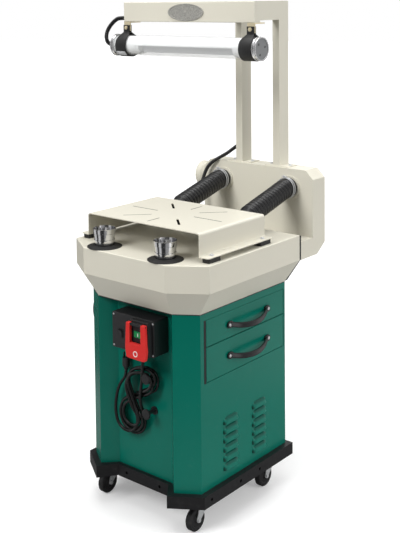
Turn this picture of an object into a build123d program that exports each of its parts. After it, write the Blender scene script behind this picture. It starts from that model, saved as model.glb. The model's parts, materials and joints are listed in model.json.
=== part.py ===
from build123d import *
import os
from math import atan2, cos, pi, radians, sin, sqrt, tan

# Twin-drum bench sander on a wheeled cabinet, with a dust box and a tube lamp behind the table.
#
# Millimetres, +Z up.  The front faces -Y and the drawers pull out towards +X.  The sizes below are laid
# out from a point on the floor under the middle of the cabinet; the finished nodes are then moved so that
# the origin is on the floor under the middle of the whole machine, and written to parts/NODE.step.

os.makedirs("parts", exist_ok=True)

# ---- driving dimensions -------------------------------------------------------------------
TOUCH = 0.3              # gap left between curved faces that meet on different bodies
RUN = 0.05               # radial running clearance of a shaft in its bearing

# casters
WHEEL_R = 38.0
WHEEL_W = 25.0
WHEEL_CROWN = 4.0
AXLE_R = 4.0
TRAIL = 25.0             # wheel centre ahead of the swivel axis
CASTER_H = 98.0          # floor to the top of the caster plate
CASTER_PLATE = (90.0, 66.0, 3.0)
CASTER_IN_SIDE = 62.0    # edge of the base to a swivel axis
CASTER_IN_FRONT = 118.0
CASTER_IN_REAR = 71.0
FORK_T = 2.5
FORK_GAP = 1.5           # wheel side to fork leg
RACE_R = 22.0

# dolly base
BASE_T = 3.0
BASE_H = 41.0
BASE_OUT_SIDE = 21.0     # how far the base stands out past the cabinet
BASE_OUT_FRONT = 29.0
BASE_OUT_NOTCH = 15.0
BASE_OUT_REAR = 16.0
BASE_TIP_X = 160.0
BASE_NOTCH_X = 115.0
BASE_FLANGE = 112.0
BASE_HOLE = 9.0
BASE_HOLES_SIDE = (-185.0, -30.0, 78.0)
BASE_HOLES_FRONT = (-75.0, 75.0)

# cabinet
SHEET = 2.0
CHAMFER_SLOPE = 2.0 / 3.0    # how far a corner runs back for each unit that it runs out
CAB_H = 586.0
CAB_HALF_X = 241.0
CAB_TIP_X = 166.0
CAB_NOTCH_X = 120.0
CAB_FRONT = -261.0
CAB_NOTCH_D = 46.0
CAB_REAR = 262.0

# drawers
DRAWER_IN_FRONT = 30.0   # shoulder of the front post to the drawers
DRAWER_IN_REAR = 11.0
DRAWER_IN_TOP = 23.0
DRAWER_GAP = 2.5
DRAWER_STEP = 3.0
UPPER_DRAWER_H = 88.0
LOWER_DRAWER_H = 114.0
DRAWER_DEPTH = 205.0
DRAWER_SIDE_GAP = 10.0
DRAWER_FLOOR_UP = 9.0
DRAWER_TOP_DOWN = 12.0
RUNNER_H = 20.0
RUNNER_RIB = 5.0
RUNNER_SETBACK = 22.0    # side sheet to the mouth of the runner

# drawer handles and the door handle
HANDLE_SPAN = 202.0
HANDLE_OFF = 9.0         # middle of the drawer to the middle of its handle
HANDLE_OUT = 27.0
HANDLE_DROP = 14.0
HANDLE_W = 15.0
HANDLE_T = 6.0
HANDLE_FOOT = 4.0
DOOR_HANDLE_SPAN = 108.0

# louvres
LOUVRE_ROWS = 6
LOUVRE_PITCH = 31.0
LOUVRE_UP = 33.0
LOUVRE_L = 80.0
LOUVRE_H = 25.0
LOUVRE_OUT = 6.0
LOUVRE_Y = (-57.0, 102.0)

# access door on the left side
DOOR_IN_FRONT = 15.0     # shoulder of the front post to the door
DOOR_IN_REAR = 30.0
DOOR_IN_LOW = 51.0
DOOR_IN_TOP = 19.0
HINGE_PIN_R = 3.0
HINGE_KNUCKLE_R = 5.5
HINGE_L = 60.0
LEAF_T = 2.0
LEAF_W = 22.0
HINGE_IN = 80.0

# head
GASKET = 3.0
HEAD_T = 3.0
HEAD_TAPER_H = 83.0
HEAD_WALL_H = 89.0
HEAD_OUT_SIDE = 58.0     # how far the head stands out past the cabinet
HEAD_OUT_TIP = 17.0
HEAD_OUT_FRONT = 50.0
HEAD_OUT_REAR = 9.0
HEAD_FLANGE = 25.0
HEAD_EDGE_R = 3.0
REAR_PLATE_T = 7.0
PLATE_MARGIN = 1.0

# drums and their drive
DRUM_X = 137.0
DRUM_IN = 55.0           # front of the head to the drums' axes
DRUM_H = 60.0
DRUM_RIM_R = 39.5
DRUM_LIP_R = 36.5
DRUM_SEAM_R = 35.2
DRUM_FOOT_R = 31.0
DRUM_LIP_H = 17.0
DRUM_SEAM_H = 22.0
DRUM_WALL = 2.2
DRUM_LIFT = 3.0          # deck to the drum's foot
SKIRT_R = 59.0
SKIRT_H = 7.0
SPINDLE_R = 10.0
BEARING_R = 23.5
BEARING_W = 14.0
HOUSING_R = 30.0
HOUSING_FLANGE_R = 45.0
HOUSING_H = 56.0
PULLEY_R = 38.0
PULLEY_W = 20.0
BELT_W = 9.0
BELT_T = 6.0
GROOVE_R = 32.0
MOTOR_X = -115.0
MOTOR_Y = 0.0
MOTOR_R = 82.0
MOTOR_H = 235.0
MOTOR_PLATE_T = 6.0
MOTOR_PLATE_Y = 115.0
MOTOR_SHAFT_R = 9.5

# work table
TABLE_HALF_X = 250.0
TABLE_FRONT = -222.0
TABLE_REAR = 128.0
TABLE_TOP_UP = 93.0      # deck to the top of the table
TABLE_T = 3.0
TABLE_BEND_R = 9.0
TABLE_HEEL_R = 4.0
TABLE_FLANGE = 36.0
FOOT_H = 16.0
FOOT_L = 60.0
FOOT_W = 30.0
FOOT_INSET = 8.0
SLOT_HUB = 82.0
SLOT_THIN = 3.0
SLOT_THICK = 9.0
SLOT_SIDE_L = 120.0
SLOT_FRONT_L = 62.0
SLOT_DIAGONAL_L = 98.0
SLOT_THICK_L = 88.0

# hoses
HOSE_R = 36.5
HOSE_WALL = 4.5
HOSE_X = 155.0
HOSE_BEHIND = 10.0       # table's rear edge to the axis of the hose's foot
HOSE_UNDER = 21.0        # table's top to the corner of the hose's centre line
HOSE_STRAIGHT = 53.0     # box to the point where the hose starts to fall
HOSE_FALL_R = 150.0
HOSE_LEG = 6.0           # straight end of the hose above the deck
SPIGOT_L = 38.0
SPIGOT_WALL = 2.0
COLLAR_R = 43.0
COLLAR_T = 5.0
CLAMP_WIRE_R = 1.3
CLAMP_PITCH = 8.0
CLAMP_IN = 18.0          # collar to the clamp's first wire
CLAMP_TURN = 70.0

# dust box
BOX_T = 3.0
BOX_HALF_X = 255.0
BOX_REACH = 153.0        # rear of the head to the front of the box
BOX_D = 81.0
BOX_DROP = 112.0         # deck down to the box's underside
BOX_LEG_H = 66.0
BOX_RISE = 199.0
BOX_TOP_CUT = 32.0
BOX_HEEL_Y = 53.0
BOX_HEEL_Z = 37.0
PORT_UP = 130.0          # deck to the hose ports
OUTLET_R = 50.0
OUTLET_L = 38.0
OUTLET_UP = 130.0
OUTLET_WALL = 2.5
OUTLET_NECK_R = 38.0
OUTLET_FLARE_L = 14.0

# lamp frame
POST_X = 87.0            # middle of a post
POST_W = 30.0
POST_D = 60.0
POST_IN = 9.0            # front of the box to the posts
TUBE_WALL = 3.0
FRAME_TOP = 1720.0
BEAM_H = 70.0
BEAM_HALF_X = 294.0
BEAM_FRONT = 18.0
FOOT_PLATE = (106.0, 66.0, 4.0)
FOOT_SCREW_X = 42.0

# lamp
LAMP_DROP = 85.0         # beam to the lamp's axis
LAMP_OUT_LEFT = 39.0     # how far the lamp stands out past the beam
LAMP_OUT_RIGHT = 28.0
GLASS_R = 37.0
GLASS_T = 3.0
CAP_R = 40.0
CAP_L = 16.0
CAP_SKIRT = 9.0
CAP_NOSE = 16.0
STRAP_W = 50.0
STRAP_T = 4.0
STRAP_EAR_H = 32.0
BRACKET_W = 30.0
BRACKET_T = 4.0
BRACKET_REAR = 26.0      # how far the top leg runs out behind the beam
SOCKET_R = 17.0
SOCKET_L = (124.0, 94.0)    # left and right
STRIP_H = 22.0
STRIP_T = 5.0
LAMP_BOLT_R = 4.0

# control box and its switch
CONTROL_X0 = -78.0
CONTROL_X1 = 109.0
CONTROL_IN_TOP = 28.0
CONTROL_H = 120.0
CONTROL_D = 70.0
COVER_T = 7.0
SWITCH_X0 = 20.0
SWITCH_X1 = 100.0
SWITCH_D = 18.0
SWITCH_INSET_Z = 3.0
PADDLE_X0 = 12.0
PADDLE_X1 = 104.0
PADDLE_BELOW = 6.0       # how far the paddle hangs below the box
PADDLE_PIVOT_IN = 13.0
PADDLE_T = 11.0
PADDLE_GAP = 5.0
PADDLE_ARM_L = 21.0
PADDLE_ARM_R = 24.0
PADDLE_MOUTH_UP = 46.0
PADDLE_PIN_R = 2.5
ON_W = 35.0
ON_H = 20.0
ON_UP = 72.0
BUTTON_OUT = 3.5
STOP_R = 11.0
STOP_UP = 23.0
STOP_GAP = 0.6           # paddle to the stop button
ROCKER_X = -39.0
ROCKER_UP = 52.0
ROCKER_W = 16.0
ROCKER_H = 24.0
ROCKER_TILT = 6.0
ROCKER_GAP = 1.0
ROCKER_AXLE_R = 1.5
ROCKER_AXLE_IN = 1.5

# power cord
CORD_R = 4.5
GLAND_X = 28.0
GLAND_OUT = 35.0         # recessed panel to the gland under the control box
GLAND_L = 18.0
HOOK_X = 45.0
HOOK_Z = (484.0, 366.0)
HOOK_R = 7.0
HOOK_OUT = 40.0
HOOK_HEAD_R = 17.0
HOOK_HEAD_T = 6.0
HANK_OFF = 5.0           # panel to the hank
HANK_T = 28.0
HANK_LOW = (-50.0, 336.0, 66.0)          # x, z and radius of the round ends of the hank
HANK_HIGH_LEFT = (-46.0, 430.0, 46.0)
HANK_HIGH_RIGHT = (14.0, 452.0, 55.0)
PLUG_X = -66.0
PLUG_Z0 = 492.0
PLUG_L = 34.0
PRONG_L = 20.0

# captive cables
CABLE_R = 6.5
LOWER_CABLE_R = 5.5
GLAND_COLLAR_L = 9.0

# ---- worked-out levels and places -----------------------------------------------------------
SPLIT_Y = CAB_FRONT + CHAMFER_SLOPE * (CAB_HALF_X - CAB_TIP_X)
CAB_NOTCH_Y = CAB_FRONT + CAB_NOTCH_D
BASE_HALF_X = CAB_HALF_X + BASE_OUT_SIDE
BASE_FRONT = CAB_FRONT - BASE_OUT_FRONT
BASE_NOTCH_Y = CAB_NOTCH_Y - BASE_OUT_NOTCH
BASE_REAR = CAB_REAR + BASE_OUT_REAR
BASE_BOTTOM = CASTER_H
BASE_TOP = BASE_BOTTOM + BASE_H
CASTER_X = BASE_HALF_X - CASTER_IN_SIDE
CASTER_Y_FRONT = BASE_FRONT + CASTER_IN_FRONT
CASTER_Y_REAR = BASE_REAR - CASTER_IN_REAR
CAB_TOP = BASE_TOP + CAB_H
LOUVRE_LOW_Z = BASE_TOP + LOUVRE_UP
DRAWER_Y0 = SPLIT_Y + DRAWER_IN_FRONT
DRAWER_Y1 = CAB_REAR - DRAWER_IN_REAR
UPPER_DRAWER_TOP = CAB_TOP - DRAWER_IN_TOP
LOWER_DRAWER_TOP = UPPER_DRAWER_TOP - UPPER_DRAWER_H - DRAWER_STEP
UPPER_DRAWER_Z = (UPPER_DRAWER_TOP - UPPER_DRAWER_H, UPPER_DRAWER_TOP)
LOWER_DRAWER_Z = (LOWER_DRAWER_TOP - LOWER_DRAWER_H, LOWER_DRAWER_TOP)
HANDLE_Y = (DRAWER_Y0 + DRAWER_Y1) / 2 + HANDLE_OFF
DOOR_Y0 = SPLIT_Y + DOOR_IN_FRONT
DOOR_Y1 = CAB_REAR - DOOR_IN_REAR
DOOR_Z0 = BASE_TOP + DOOR_IN_LOW
DOOR_Z1 = CAB_TOP - DOOR_IN_TOP
HINGE_Z = (DOOR_Z0 + HINGE_IN, DOOR_Z1 - HINGE_IN)
HEAD_HALF_X = CAB_HALF_X + HEAD_OUT_SIDE
HEAD_TIP_X = CAB_TIP_X + HEAD_OUT_TIP
HEAD_FRONT = CAB_FRONT - HEAD_OUT_FRONT
HEAD_REAR = CAB_REAR + HEAD_OUT_REAR
HEAD_BOTTOM = CAB_TOP + GASKET
HEAD_KNEE = HEAD_BOTTOM + HEAD_TAPER_H
DECK = HEAD_KNEE + HEAD_WALL_H
DECK_UNDER = DECK - HEAD_T
DRUM_Y = HEAD_FRONT + DRUM_IN
TABLE_TOP = DECK + TABLE_TOP_UP
FLANGE_TOP = DECK + FOOT_H + TABLE_T
BOX_FRONT = HEAD_REAR + BOX_REACH
BOX_REAR = BOX_FRONT + BOX_D
BOX_BOTTOM = DECK - BOX_DROP
BOX_SHELF = BOX_BOTTOM + BOX_LEG_H
BOX_TOP = DECK + BOX_RISE
PORT_Z = DECK + PORT_UP
OUTLET_Z = DECK + OUTLET_UP
HOSE_DECK_Y = TABLE_REAR + HOSE_BEHIND
HOSE_CORNER_Z = TABLE_TOP - HOSE_UNDER
HOSE_TURN_Y = BOX_FRONT - HOSE_STRAIGHT
HOSE_FOOT_Z = DECK + COLLAR_T + TOUCH
POST_FRONT = BOX_FRONT + POST_IN
STRAP_X = (BRACKET_W / 2 - BEAM_HALF_X, BEAM_HALF_X - BRACKET_W / 2)
LAMP_X0 = -BEAM_HALF_X - LAMP_OUT_LEFT
LAMP_X1 = BEAM_HALF_X + LAMP_OUT_RIGHT
GLAND_Y = CAB_NOTCH_Y - GLAND_OUT
CONTROL_Z1 = CAB_TOP - CONTROL_IN_TOP
CONTROL_Z0 = CONTROL_Z1 - CONTROL_H
PADDLE_Z0 = CONTROL_Z0 - PADDLE_BELOW
PADDLE_PIVOT_Z = CONTROL_Z1 - PADDLE_PIVOT_IN
PADDLE_MOUTH_Z = CONTROL_Z0 + PADDLE_MOUTH_UP
ON_Z = CONTROL_Z0 + ON_UP
STOP_Z = CONTROL_Z0 + STOP_UP
ROCKER_Z = CONTROL_Z0 + ROCKER_UP
SWIVEL = [(sx * CASTER_X, y) for y in (CASTER_Y_FRONT, CASTER_Y_REAR) for sx in (-1, 1)]
SWIVEL_NAMES = ["front_left", "front_right", "rear_left", "rear_right"]
CORD_NODES = ["power_cord", "cord_hank", "power_plug"]
LAMP_Y = BEAM_FRONT + BRACKET_T / 2
BEAM_UNDER = FRAME_TOP - BEAM_H
LAMP_Z = BEAM_UNDER - LAMP_DROP
POST_Y = POST_FRONT + POST_D / 2
COVER_Y = CAB_NOTCH_Y - CONTROL_D
SWITCH_Y = COVER_Y - SWITCH_D
PADDLE_Y = SWITCH_Y - PADDLE_GAP - PADDLE_T / 2
HOUSING_TOP = DECK_UNDER
PULLEY_Z = HOUSING_TOP - HOUSING_H - 12.0 - PULLEY_W / 2
DRUM_FOOT = DECK + DRUM_LIFT
DRUM_RIM = DRUM_FOOT + DRUM_H


# ---- small helpers ---------------------------------------------------------------------------
def block(x0, x1, y0, y1, z0, z1):
    """An upright box between two corners."""
    return Pos((x0 + x1) / 2, (y0 + y1) / 2, (z0 + z1) / 2) * Box(x1 - x0, y1 - y0, z1 - z0)


def rod_x(x0, x1, y, z, r):
    """A round bar along X."""
    return Pos((x0 + x1) / 2, y, z) * Rot(0, 90, 0) * Cylinder(r, x1 - x0)


def rod_y(x, y0, y1, z, r):
    """A round bar along Y."""
    return Pos(x, (y0 + y1) / 2, z) * Rot(90, 0, 0) * Cylinder(r, y1 - y0)


def rod_z(x, y, z0, z1, r):
    """A round bar along Z."""
    return Pos(x, y, (z0 + z1) / 2) * Cylinder(r, z1 - z0)


def prism(points, z0, z1):
    """A plan outline raised from z0 to z1."""
    return extrude(Plane.XY.offset(z0) * Polygon(*points, align=None), amount=z1 - z0)


def plan(points, inset=0.0):
    """A plan outline as a face, drawn in by inset."""
    face = Polygon(*points, align=None)
    if inset:
        face = offset(face, amount=-inset, kind=Kind.INTERSECTION)
    return face


def turned(profile, x=0.0, y=0.0):
    """A body of revolution about the upright line through x, y; profile holds (radius, z) points."""
    face = Plane.XZ * Polygon(*profile, align=None)
    return Pos(x, y, 0) * revolve(face, axis=Axis.Z)


def pan_screw(r, h, slot=True):
    """A low domed screw head on the XY plane, with a driver slot."""
    head = Cylinder(r, h, align=(Align.CENTER, Align.CENTER, Align.MIN))
    head = fillet(head.edges().group_by(Axis.Z)[-1], h * 0.6)
    if slot:
        head -= Pos(0, 0, h) * Box(r * 1.5, r * 0.28, h * 0.8)
    return head


def group(shapes):
    """Separate solids kept together as one node."""
    return Compound([solid for shape in shapes for solid in shape.solids()])


# ---- casters ---------------------------------------------------------------------------------
def caster_plate(x, y):
    """Top plate with the fixed half of the swivel race, bolted under the base."""
    length, width, thick = CASTER_PLATE
    plate = block(-width / 2, width / 2, -length / 2, length / 2, CASTER_H - thick, CASTER_H)
    plate = fillet(plate.edges().filter_by(Axis.Z), 5)
    race = rod_z(0, 0, CASTER_H - thick - 8.0, CASTER_H - thick, RACE_R)
    kingpin = rod_z(0, 0, CASTER_H - thick - 19.0, CASTER_H - thick - 8.0, 5.0)
    body = plate + race + kingpin
    for sx in (-1, 1):
        for sy in (-1, 1):
            bolt = rod_z(sx * width * 0.36, sy * length * 0.38, CASTER_H - thick - 4, CASTER_H - thick, 6)
            body += bolt
    return Pos(x, y, 0) * body


def caster_fork(x, y):
    """Swivel yoke: a cup under the race and two legs that narrow down to the axle bolt."""
    crown_top = CASTER_H - CASTER_PLATE[2] - 8.0 - TOUCH
    crown_low = crown_top - 8.0
    inner = WHEEL_W / 2 + FORK_GAP
    outer = inner + FORK_T
    crown = rod_z(0, 0, crown_low, crown_top, RACE_R + 2.0)
    crown -= rod_z(0, 0, crown_low - 1, crown_top + 1, 5.0 + TOUCH)
    leg_top = crown_low + 4.0
    legs = []
    for side in (-1, 1):
        outline = make_hull(
            (Pos(-TRAIL, WHEEL_R) * Circle(8.0)).edges()
            + (Pos(-2.0, leg_top - 8) * Rectangle(36.0, 16.0)).edges()
        )
        leg = extrude(Plane.YZ.offset(inner if side > 0 else -outer) * outline, amount=FORK_T)
        legs.append(leg)
    body = crown
    for leg in legs:
        body += leg
    bridge = block(-outer, outer, -18.0, 16.0, crown_low, leg_top)
    bridge -= rod_z(0, 0, crown_low - 1, leg_top + 1, 5.0 + TOUCH)
    body += bridge
    body -= rod_x(-outer - 1, outer + 1, -TRAIL, WHEEL_R, AXLE_R)
    bolt = rod_x(-outer, outer, -TRAIL, WHEEL_R, AXLE_R)
    bolt += rod_x(outer, outer + 4.0, -TRAIL, WHEEL_R, 6.5)
    bolt += rod_x(-outer - 5.0, -outer, -TRAIL, WHEEL_R, 6.5)
    return group([Pos(x, y, 0) * body, Pos(x, y, 0) * bolt])


def caster_wheel(x, y):
    """Solid wheel with a crowned tread, dished sides and a plain bore."""
    half = WHEEL_W / 2
    bore = AXLE_R + RUN
    profile = [
        (bore, -half), (9.0, -half), (13.0, -half + 4), (24.0, -half + 4), (27.0, -half + 1),
        (WHEEL_R - 3.0, -half + 1), (WHEEL_R, -half + WHEEL_CROWN), (WHEEL_R, half - WHEEL_CROWN),
        (WHEEL_R - 3.0, half - 1), (27.0, half - 1), (24.0, half - 4), (13.0, half - 4), (9.0, half),
        (bore, half),
    ]
    wheel = turned(profile)
    return Pos(x, y - TRAIL, WHEEL_R) * Rot(0, 90, 0) * wheel


# ---- dolly base ------------------------------------------------------------------------------
def base_outline():
    """Plan of the base: a rectangle with cut front corners and a notch between two front horns."""
    shoulder = BASE_FRONT + CHAMFER_SLOPE * (BASE_HALF_X - BASE_TIP_X)
    right = [
        (BASE_NOTCH_X, BASE_NOTCH_Y), (BASE_TIP_X, BASE_FRONT), (BASE_HALF_X, shoulder),
        (BASE_HALF_X, BASE_REAR),
    ]
    return right + [(-x, y) for x, y in reversed(right)]


def dolly_base():
    """Pressed pan: top sheet, deep rim and a turned-in lower flange that the casters bolt to."""
    body = prism(base_outline(), BASE_BOTTOM, BASE_TOP)
    inner = extrude(Plane.XY.offset(BASE_BOTTOM + BASE_T) * plan(base_outline(), BASE_T),
                    amount=BASE_H - 2 * BASE_T)
    body -= inner
    window = block(-BASE_HALF_X + BASE_FLANGE, BASE_HALF_X - BASE_FLANGE,
                   BASE_NOTCH_Y + BASE_FLANGE, BASE_REAR - BASE_FLANGE,
                   BASE_BOTTOM - 1, BASE_BOTTOM + BASE_T + 1)
    body -= window
    z = (BASE_BOTTOM + BASE_TOP) / 2
    for y in BASE_HOLES_SIDE:
        for sx in (-1, 1):
            body -= Pos(sx * BASE_HALF_X, y, z) * Box(4 * BASE_T, BASE_HOLE, BASE_HOLE)
    for x in BASE_HOLES_FRONT:
        body -= Pos(x, BASE_NOTCH_Y, z) * Box(BASE_HOLE, 4 * BASE_T, BASE_HOLE)
        body -= Pos(x, BASE_REAR, z) * Box(BASE_HOLE, 4 * BASE_T, BASE_HOLE)
    return body


# ---- cabinet ---------------------------------------------------------------------------------
def cabinet_outline(notched=True):
    """Plan of the cabinet, with or without the notch between its two front posts."""
    shoulder = CAB_FRONT + CHAMFER_SLOPE * (CAB_HALF_X - CAB_TIP_X)
    right = [(CAB_TIP_X, CAB_FRONT), (CAB_HALF_X, shoulder), (CAB_HALF_X, CAB_REAR)]
    if notched:
        right = [(CAB_NOTCH_X, CAB_NOTCH_Y)] + right
    return right + [(-x, y) for x, y in reversed(right)]


def cabinet_ring():
    """The whole wall of the cabinet as one closed ring of sheet."""
    wall = plan(cabinet_outline()) - plan(cabinet_outline(), SHEET)
    return extrude(Plane.XY.offset(BASE_TOP) * wall, amount=CAB_H)


def cabinet_front_panel(ring):
    """Recessed front with its two folded posts."""
    posts = block(-CAB_HALF_X, CAB_HALF_X, CAB_FRONT, SPLIT_Y, BASE_TOP, CAB_TOP)
    recess = block(-CAB_TIP_X, CAB_TIP_X, CAB_FRONT, CAB_NOTCH_Y + SHEET, BASE_TOP, CAB_TOP)
    return ring & (posts + recess)


def louvre(y, z):
    """One pressed louvre: a long hood with round ends, open along its lower edge."""
    base = Pos(y, z + LOUVRE_H / 2) * RectangleRounded(LOUVRE_L, LOUVRE_H, LOUVRE_H / 2 - 0.5)
    crest = Pos(y, z + LOUVRE_H * 0.36) * RectangleRounded(LOUVRE_L - 10, LOUVRE_H * 0.5, LOUVRE_H / 4 - 0.3)
    hood = loft([Plane.YZ.offset(CAB_HALF_X) * base, Plane.YZ.offset(CAB_HALF_X + LOUVRE_OUT) * crest])
    return hood


def cabinet_right_side(ring):
    """Right side sheet with the two drawer openings and the two columns of louvres."""
    side = ring & block(CAB_TIP_X, CAB_HALF_X, SPLIT_Y, CAB_REAR - SHEET, BASE_TOP, CAB_TOP)
    for z0, z1 in (UPPER_DRAWER_Z, LOWER_DRAWER_Z):
        gap = DRAWER_GAP
        side -= block(CAB_HALF_X - 9, CAB_HALF_X + 9, DRAWER_Y0 - gap, DRAWER_Y1 + gap,
                      z0 - gap / 2, z1 + gap / 2)
    for y in LOUVRE_Y:
        for row in range(LOUVRE_ROWS):
            z = LOUVRE_LOW_Z + row * LOUVRE_PITCH
            side += louvre(y, z)
            side -= block(CAB_HALF_X - 9, CAB_HALF_X + LOUVRE_OUT - 2.0,
                          y - LOUVRE_L / 2 + 10, y + LOUVRE_L / 2 - 10, z - 1.0, z + 4.5)
    return side


def cabinet_left_side(ring):
    """Left side sheet with the door opening and the fixed hinge knuckles."""
    side = ring & block(-CAB_HALF_X, -CAB_TIP_X, SPLIT_Y, CAB_REAR - SHEET, BASE_TOP, CAB_TOP)
    gap = DRAWER_GAP
    side -= block(-CAB_HALF_X - 9, -CAB_HALF_X + 9, DOOR_Y0 - gap, DOOR_Y1 + gap, DOOR_Z0 - gap, DOOR_Z1 + gap)
    x, y = hinge_axis()
    for z in HINGE_Z:
        leaf = block(-CAB_HALF_X - LEAF_T, -CAB_HALF_X, y + HINGE_KNUCKLE_R + 0.5, y + LEAF_W, z, z + HINGE_L)
        knuckle = rod_z(x, y, z, z + HINGE_L / 2, HINGE_KNUCKLE_R)
        knuckle += block(x, -CAB_HALF_X, y, y + HINGE_KNUCKLE_R + 1.0, z, z + HINGE_L / 2)
        side += leaf + knuckle
        side += rod_z(x, y, z + HINGE_L / 2, z + HINGE_L, HINGE_PIN_R)
    return side


def cabinet_back_panel(ring):
    """Plain back sheet."""
    return ring & block(-CAB_HALF_X, CAB_HALF_X, CAB_REAR - SHEET, CAB_REAR, BASE_TOP, CAB_TOP)


def hinge_axis():
    """Upright axis of the door hinge, just outside the sheet."""
    return -CAB_HALF_X - 6.0, DOOR_Y1 + 4.0


def access_door():
    """Flush door on the left side, with the moving hinge knuckles and a stiffening fold."""
    x0 = -CAB_HALF_X
    door = block(x0, x0 + SHEET, DOOR_Y0, DOOR_Y1, DOOR_Z0, DOOR_Z1)
    fold = 14.0
    door += block(x0, x0 + fold, DOOR_Y0, DOOR_Y0 + SHEET, DOOR_Z0, DOOR_Z1)
    door += block(x0, x0 + fold, DOOR_Y0, DOOR_Y1 - 8, DOOR_Z0, DOOR_Z0 + SHEET)
    door += block(x0, x0 + fold, DOOR_Y0, DOOR_Y1 - 8, DOOR_Z1 - SHEET, DOOR_Z1)
    x, y = hinge_axis()
    for z in HINGE_Z:
        low = z + HINGE_L / 2 + 0.5
        high = z + HINGE_L
        knuckle = rod_z(x, y, low, high, HINGE_KNUCKLE_R)
        knuckle += block(x, x0, y - 6.0, y - 1.5, low, high)
        knuckle += block(x0 - LEAF_T, x0, y - LEAF_W, y - 1.5, low, high)
        door += knuckle
        door -= rod_z(x, y, low - 1, high + 1, HINGE_PIN_R + RUN)
    return door


# ---- handles ---------------------------------------------------------------------------------
def bow_handle(span, out, drop):
    """Flat bar bowed out from its two feet, lying along X, standing off towards +Z and dropping to -Y."""
    half = span / 2
    lift = HANDLE_FOOT - 1.0
    arc = ThreePointArc((-half, 0, lift), (0, -drop, lift + out), (half, 0, lift))
    across = Vector(0, 1, 0)
    section = Plane(origin=arc @ 0, x_dir=across, z_dir=arc % 0) * RectangleRounded(HANDLE_W, HANDLE_T, 2.4)
    bar = sweep(section, path=arc)
    reach = (span + 4 * HANDLE_W, 2 * (drop + HANDLE_W), out + 2 * HANDLE_W)
    bar &= Box(*reach, align=(Align.CENTER, Align.CENTER, Align.MIN))
    feet = []
    for sx in (-1, 1):
        foot = extrude(Pos(sx * half, 0) * SlotOverall(HANDLE_W + 7, HANDLE_W), amount=HANDLE_FOOT)
        screw = Pos(sx * (half + 2.5), 0, HANDLE_FOOT) * pan_screw(4.2, 2.2)
        feet.append(foot + screw)
    return bar + feet[0] + feet[1]


def drawer_handle(z_range):
    """Bow handle on a drawer front."""
    z = (z_range[0] + z_range[1]) / 2
    face = Plane(origin=(CAB_HALF_X, HANDLE_Y, z), x_dir=(0, 1, 0), z_dir=(1, 0, 0))
    return face * bow_handle(HANDLE_SPAN, HANDLE_OUT, HANDLE_DROP)


def door_handle():
    """Upright bow handle by the front edge of the access door."""
    z = DOOR_Z1 - 12.0 - DOOR_HANDLE_SPAN / 2
    face = Plane(origin=(-CAB_HALF_X, DOOR_Y0 + 13.0, z), x_dir=(0, 0, 1), z_dir=(-1, 0, 0))
    return face * bow_handle(DOOR_HANDLE_SPAN, HANDLE_OUT - 6, 0.0)


# ---- drawers ---------------------------------------------------------------------------------
def drawer(z_range):
    """Folded tray with a flush front and a rib on each side that runs in the runner."""
    z0, z1 = z_range
    x1 = CAB_HALF_X
    x0 = x1 - DRAWER_DEPTH
    y0 = DRAWER_Y0 + DRAWER_SIDE_GAP
    y1 = DRAWER_Y1 - DRAWER_SIDE_GAP
    low = z0 + DRAWER_FLOOR_UP
    high = z1 - DRAWER_TOP_DOWN
    front = block(x1 - 8.0, x1, DRAWER_Y0, DRAWER_Y1, z0, z1)
    front = chamfer(front.faces().sort_by(Axis.X)[-1].edges(), 1.0)
    tray = block(x0, x1 - 8.0, y0, y1, low, high)
    tray -= block(x0 + SHEET, x1 - 8.0 - SHEET, y0 + SHEET, y1 - SHEET, low + SHEET, high + 1)
    body = front + tray
    mid = (low + high) / 2
    for edge, out in ((y0, -1), (y1, 1)):
        near, far = sorted((edge, edge + out * RUNNER_RIB))
        body += block(x0 + 4, x1 - 12.0, near, far, mid - RUNNER_H / 4, mid + RUNNER_H / 4)
    return body


def drawer_runners():
    """Two fixed channels for each drawer: one off the recessed front, one off the back panel."""
    rails = []
    for z0, z1 in (UPPER_DRAWER_Z, LOWER_DRAWER_Z):
        mid = (z0 + DRAWER_FLOOR_UP + z1 - DRAWER_TOP_DOWN) / 2
        x0 = CAB_HALF_X - DRAWER_DEPTH
        x_end = CAB_HALF_X - RUNNER_SETBACK
        for edge, out, wall, x1 in (
            (DRAWER_Y0 + DRAWER_SIDE_GAP, -1, CAB_NOTCH_Y + SHEET, x_end),
            (DRAWER_Y1 - DRAWER_SIDE_GAP, 1, CAB_REAR - SHEET, x_end),
        ):
            near = edge + out * 0.6
            y_low, y_high = sorted((near, wall))
            rail = block(x0, x1, y_low, y_high, mid - RUNNER_H / 2, mid + RUNNER_H / 2)
            groove_far = edge + out * (RUNNER_RIB + 0.4)
            g_low, g_high = sorted((edge - out, groove_far))
            rail -= block(x0 - 1, x1 + 1, g_low, g_high, mid - RUNNER_H / 4 - 0.3, mid + RUNNER_H / 4 + 0.3)
            rails.append(rail)
    return group(rails)


# ---- head ------------------------------------------------------------------------------------
def head_outline():
    """Plan of the head's upper wall."""
    shoulder = HEAD_FRONT + CHAMFER_SLOPE * (HEAD_HALF_X - HEAD_TIP_X)
    right = [(HEAD_TIP_X, HEAD_FRONT), (HEAD_HALF_X, shoulder), (HEAD_HALF_X, HEAD_REAR)]
    return right + [(-x, y) for x, y in reversed(right)]


def outline_at(z):
    """Plan of the head at a height: it widens evenly from the cabinet's outline to the wall's."""
    share = min(1.0, (z - HEAD_BOTTOM) / HEAD_TAPER_H)
    pairs = zip(cabinet_outline(False), head_outline())
    return [(x + (far_x - x) * share, y + (far_y - y) * share) for (x, y), (far_x, far_y) in pairs]


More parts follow.
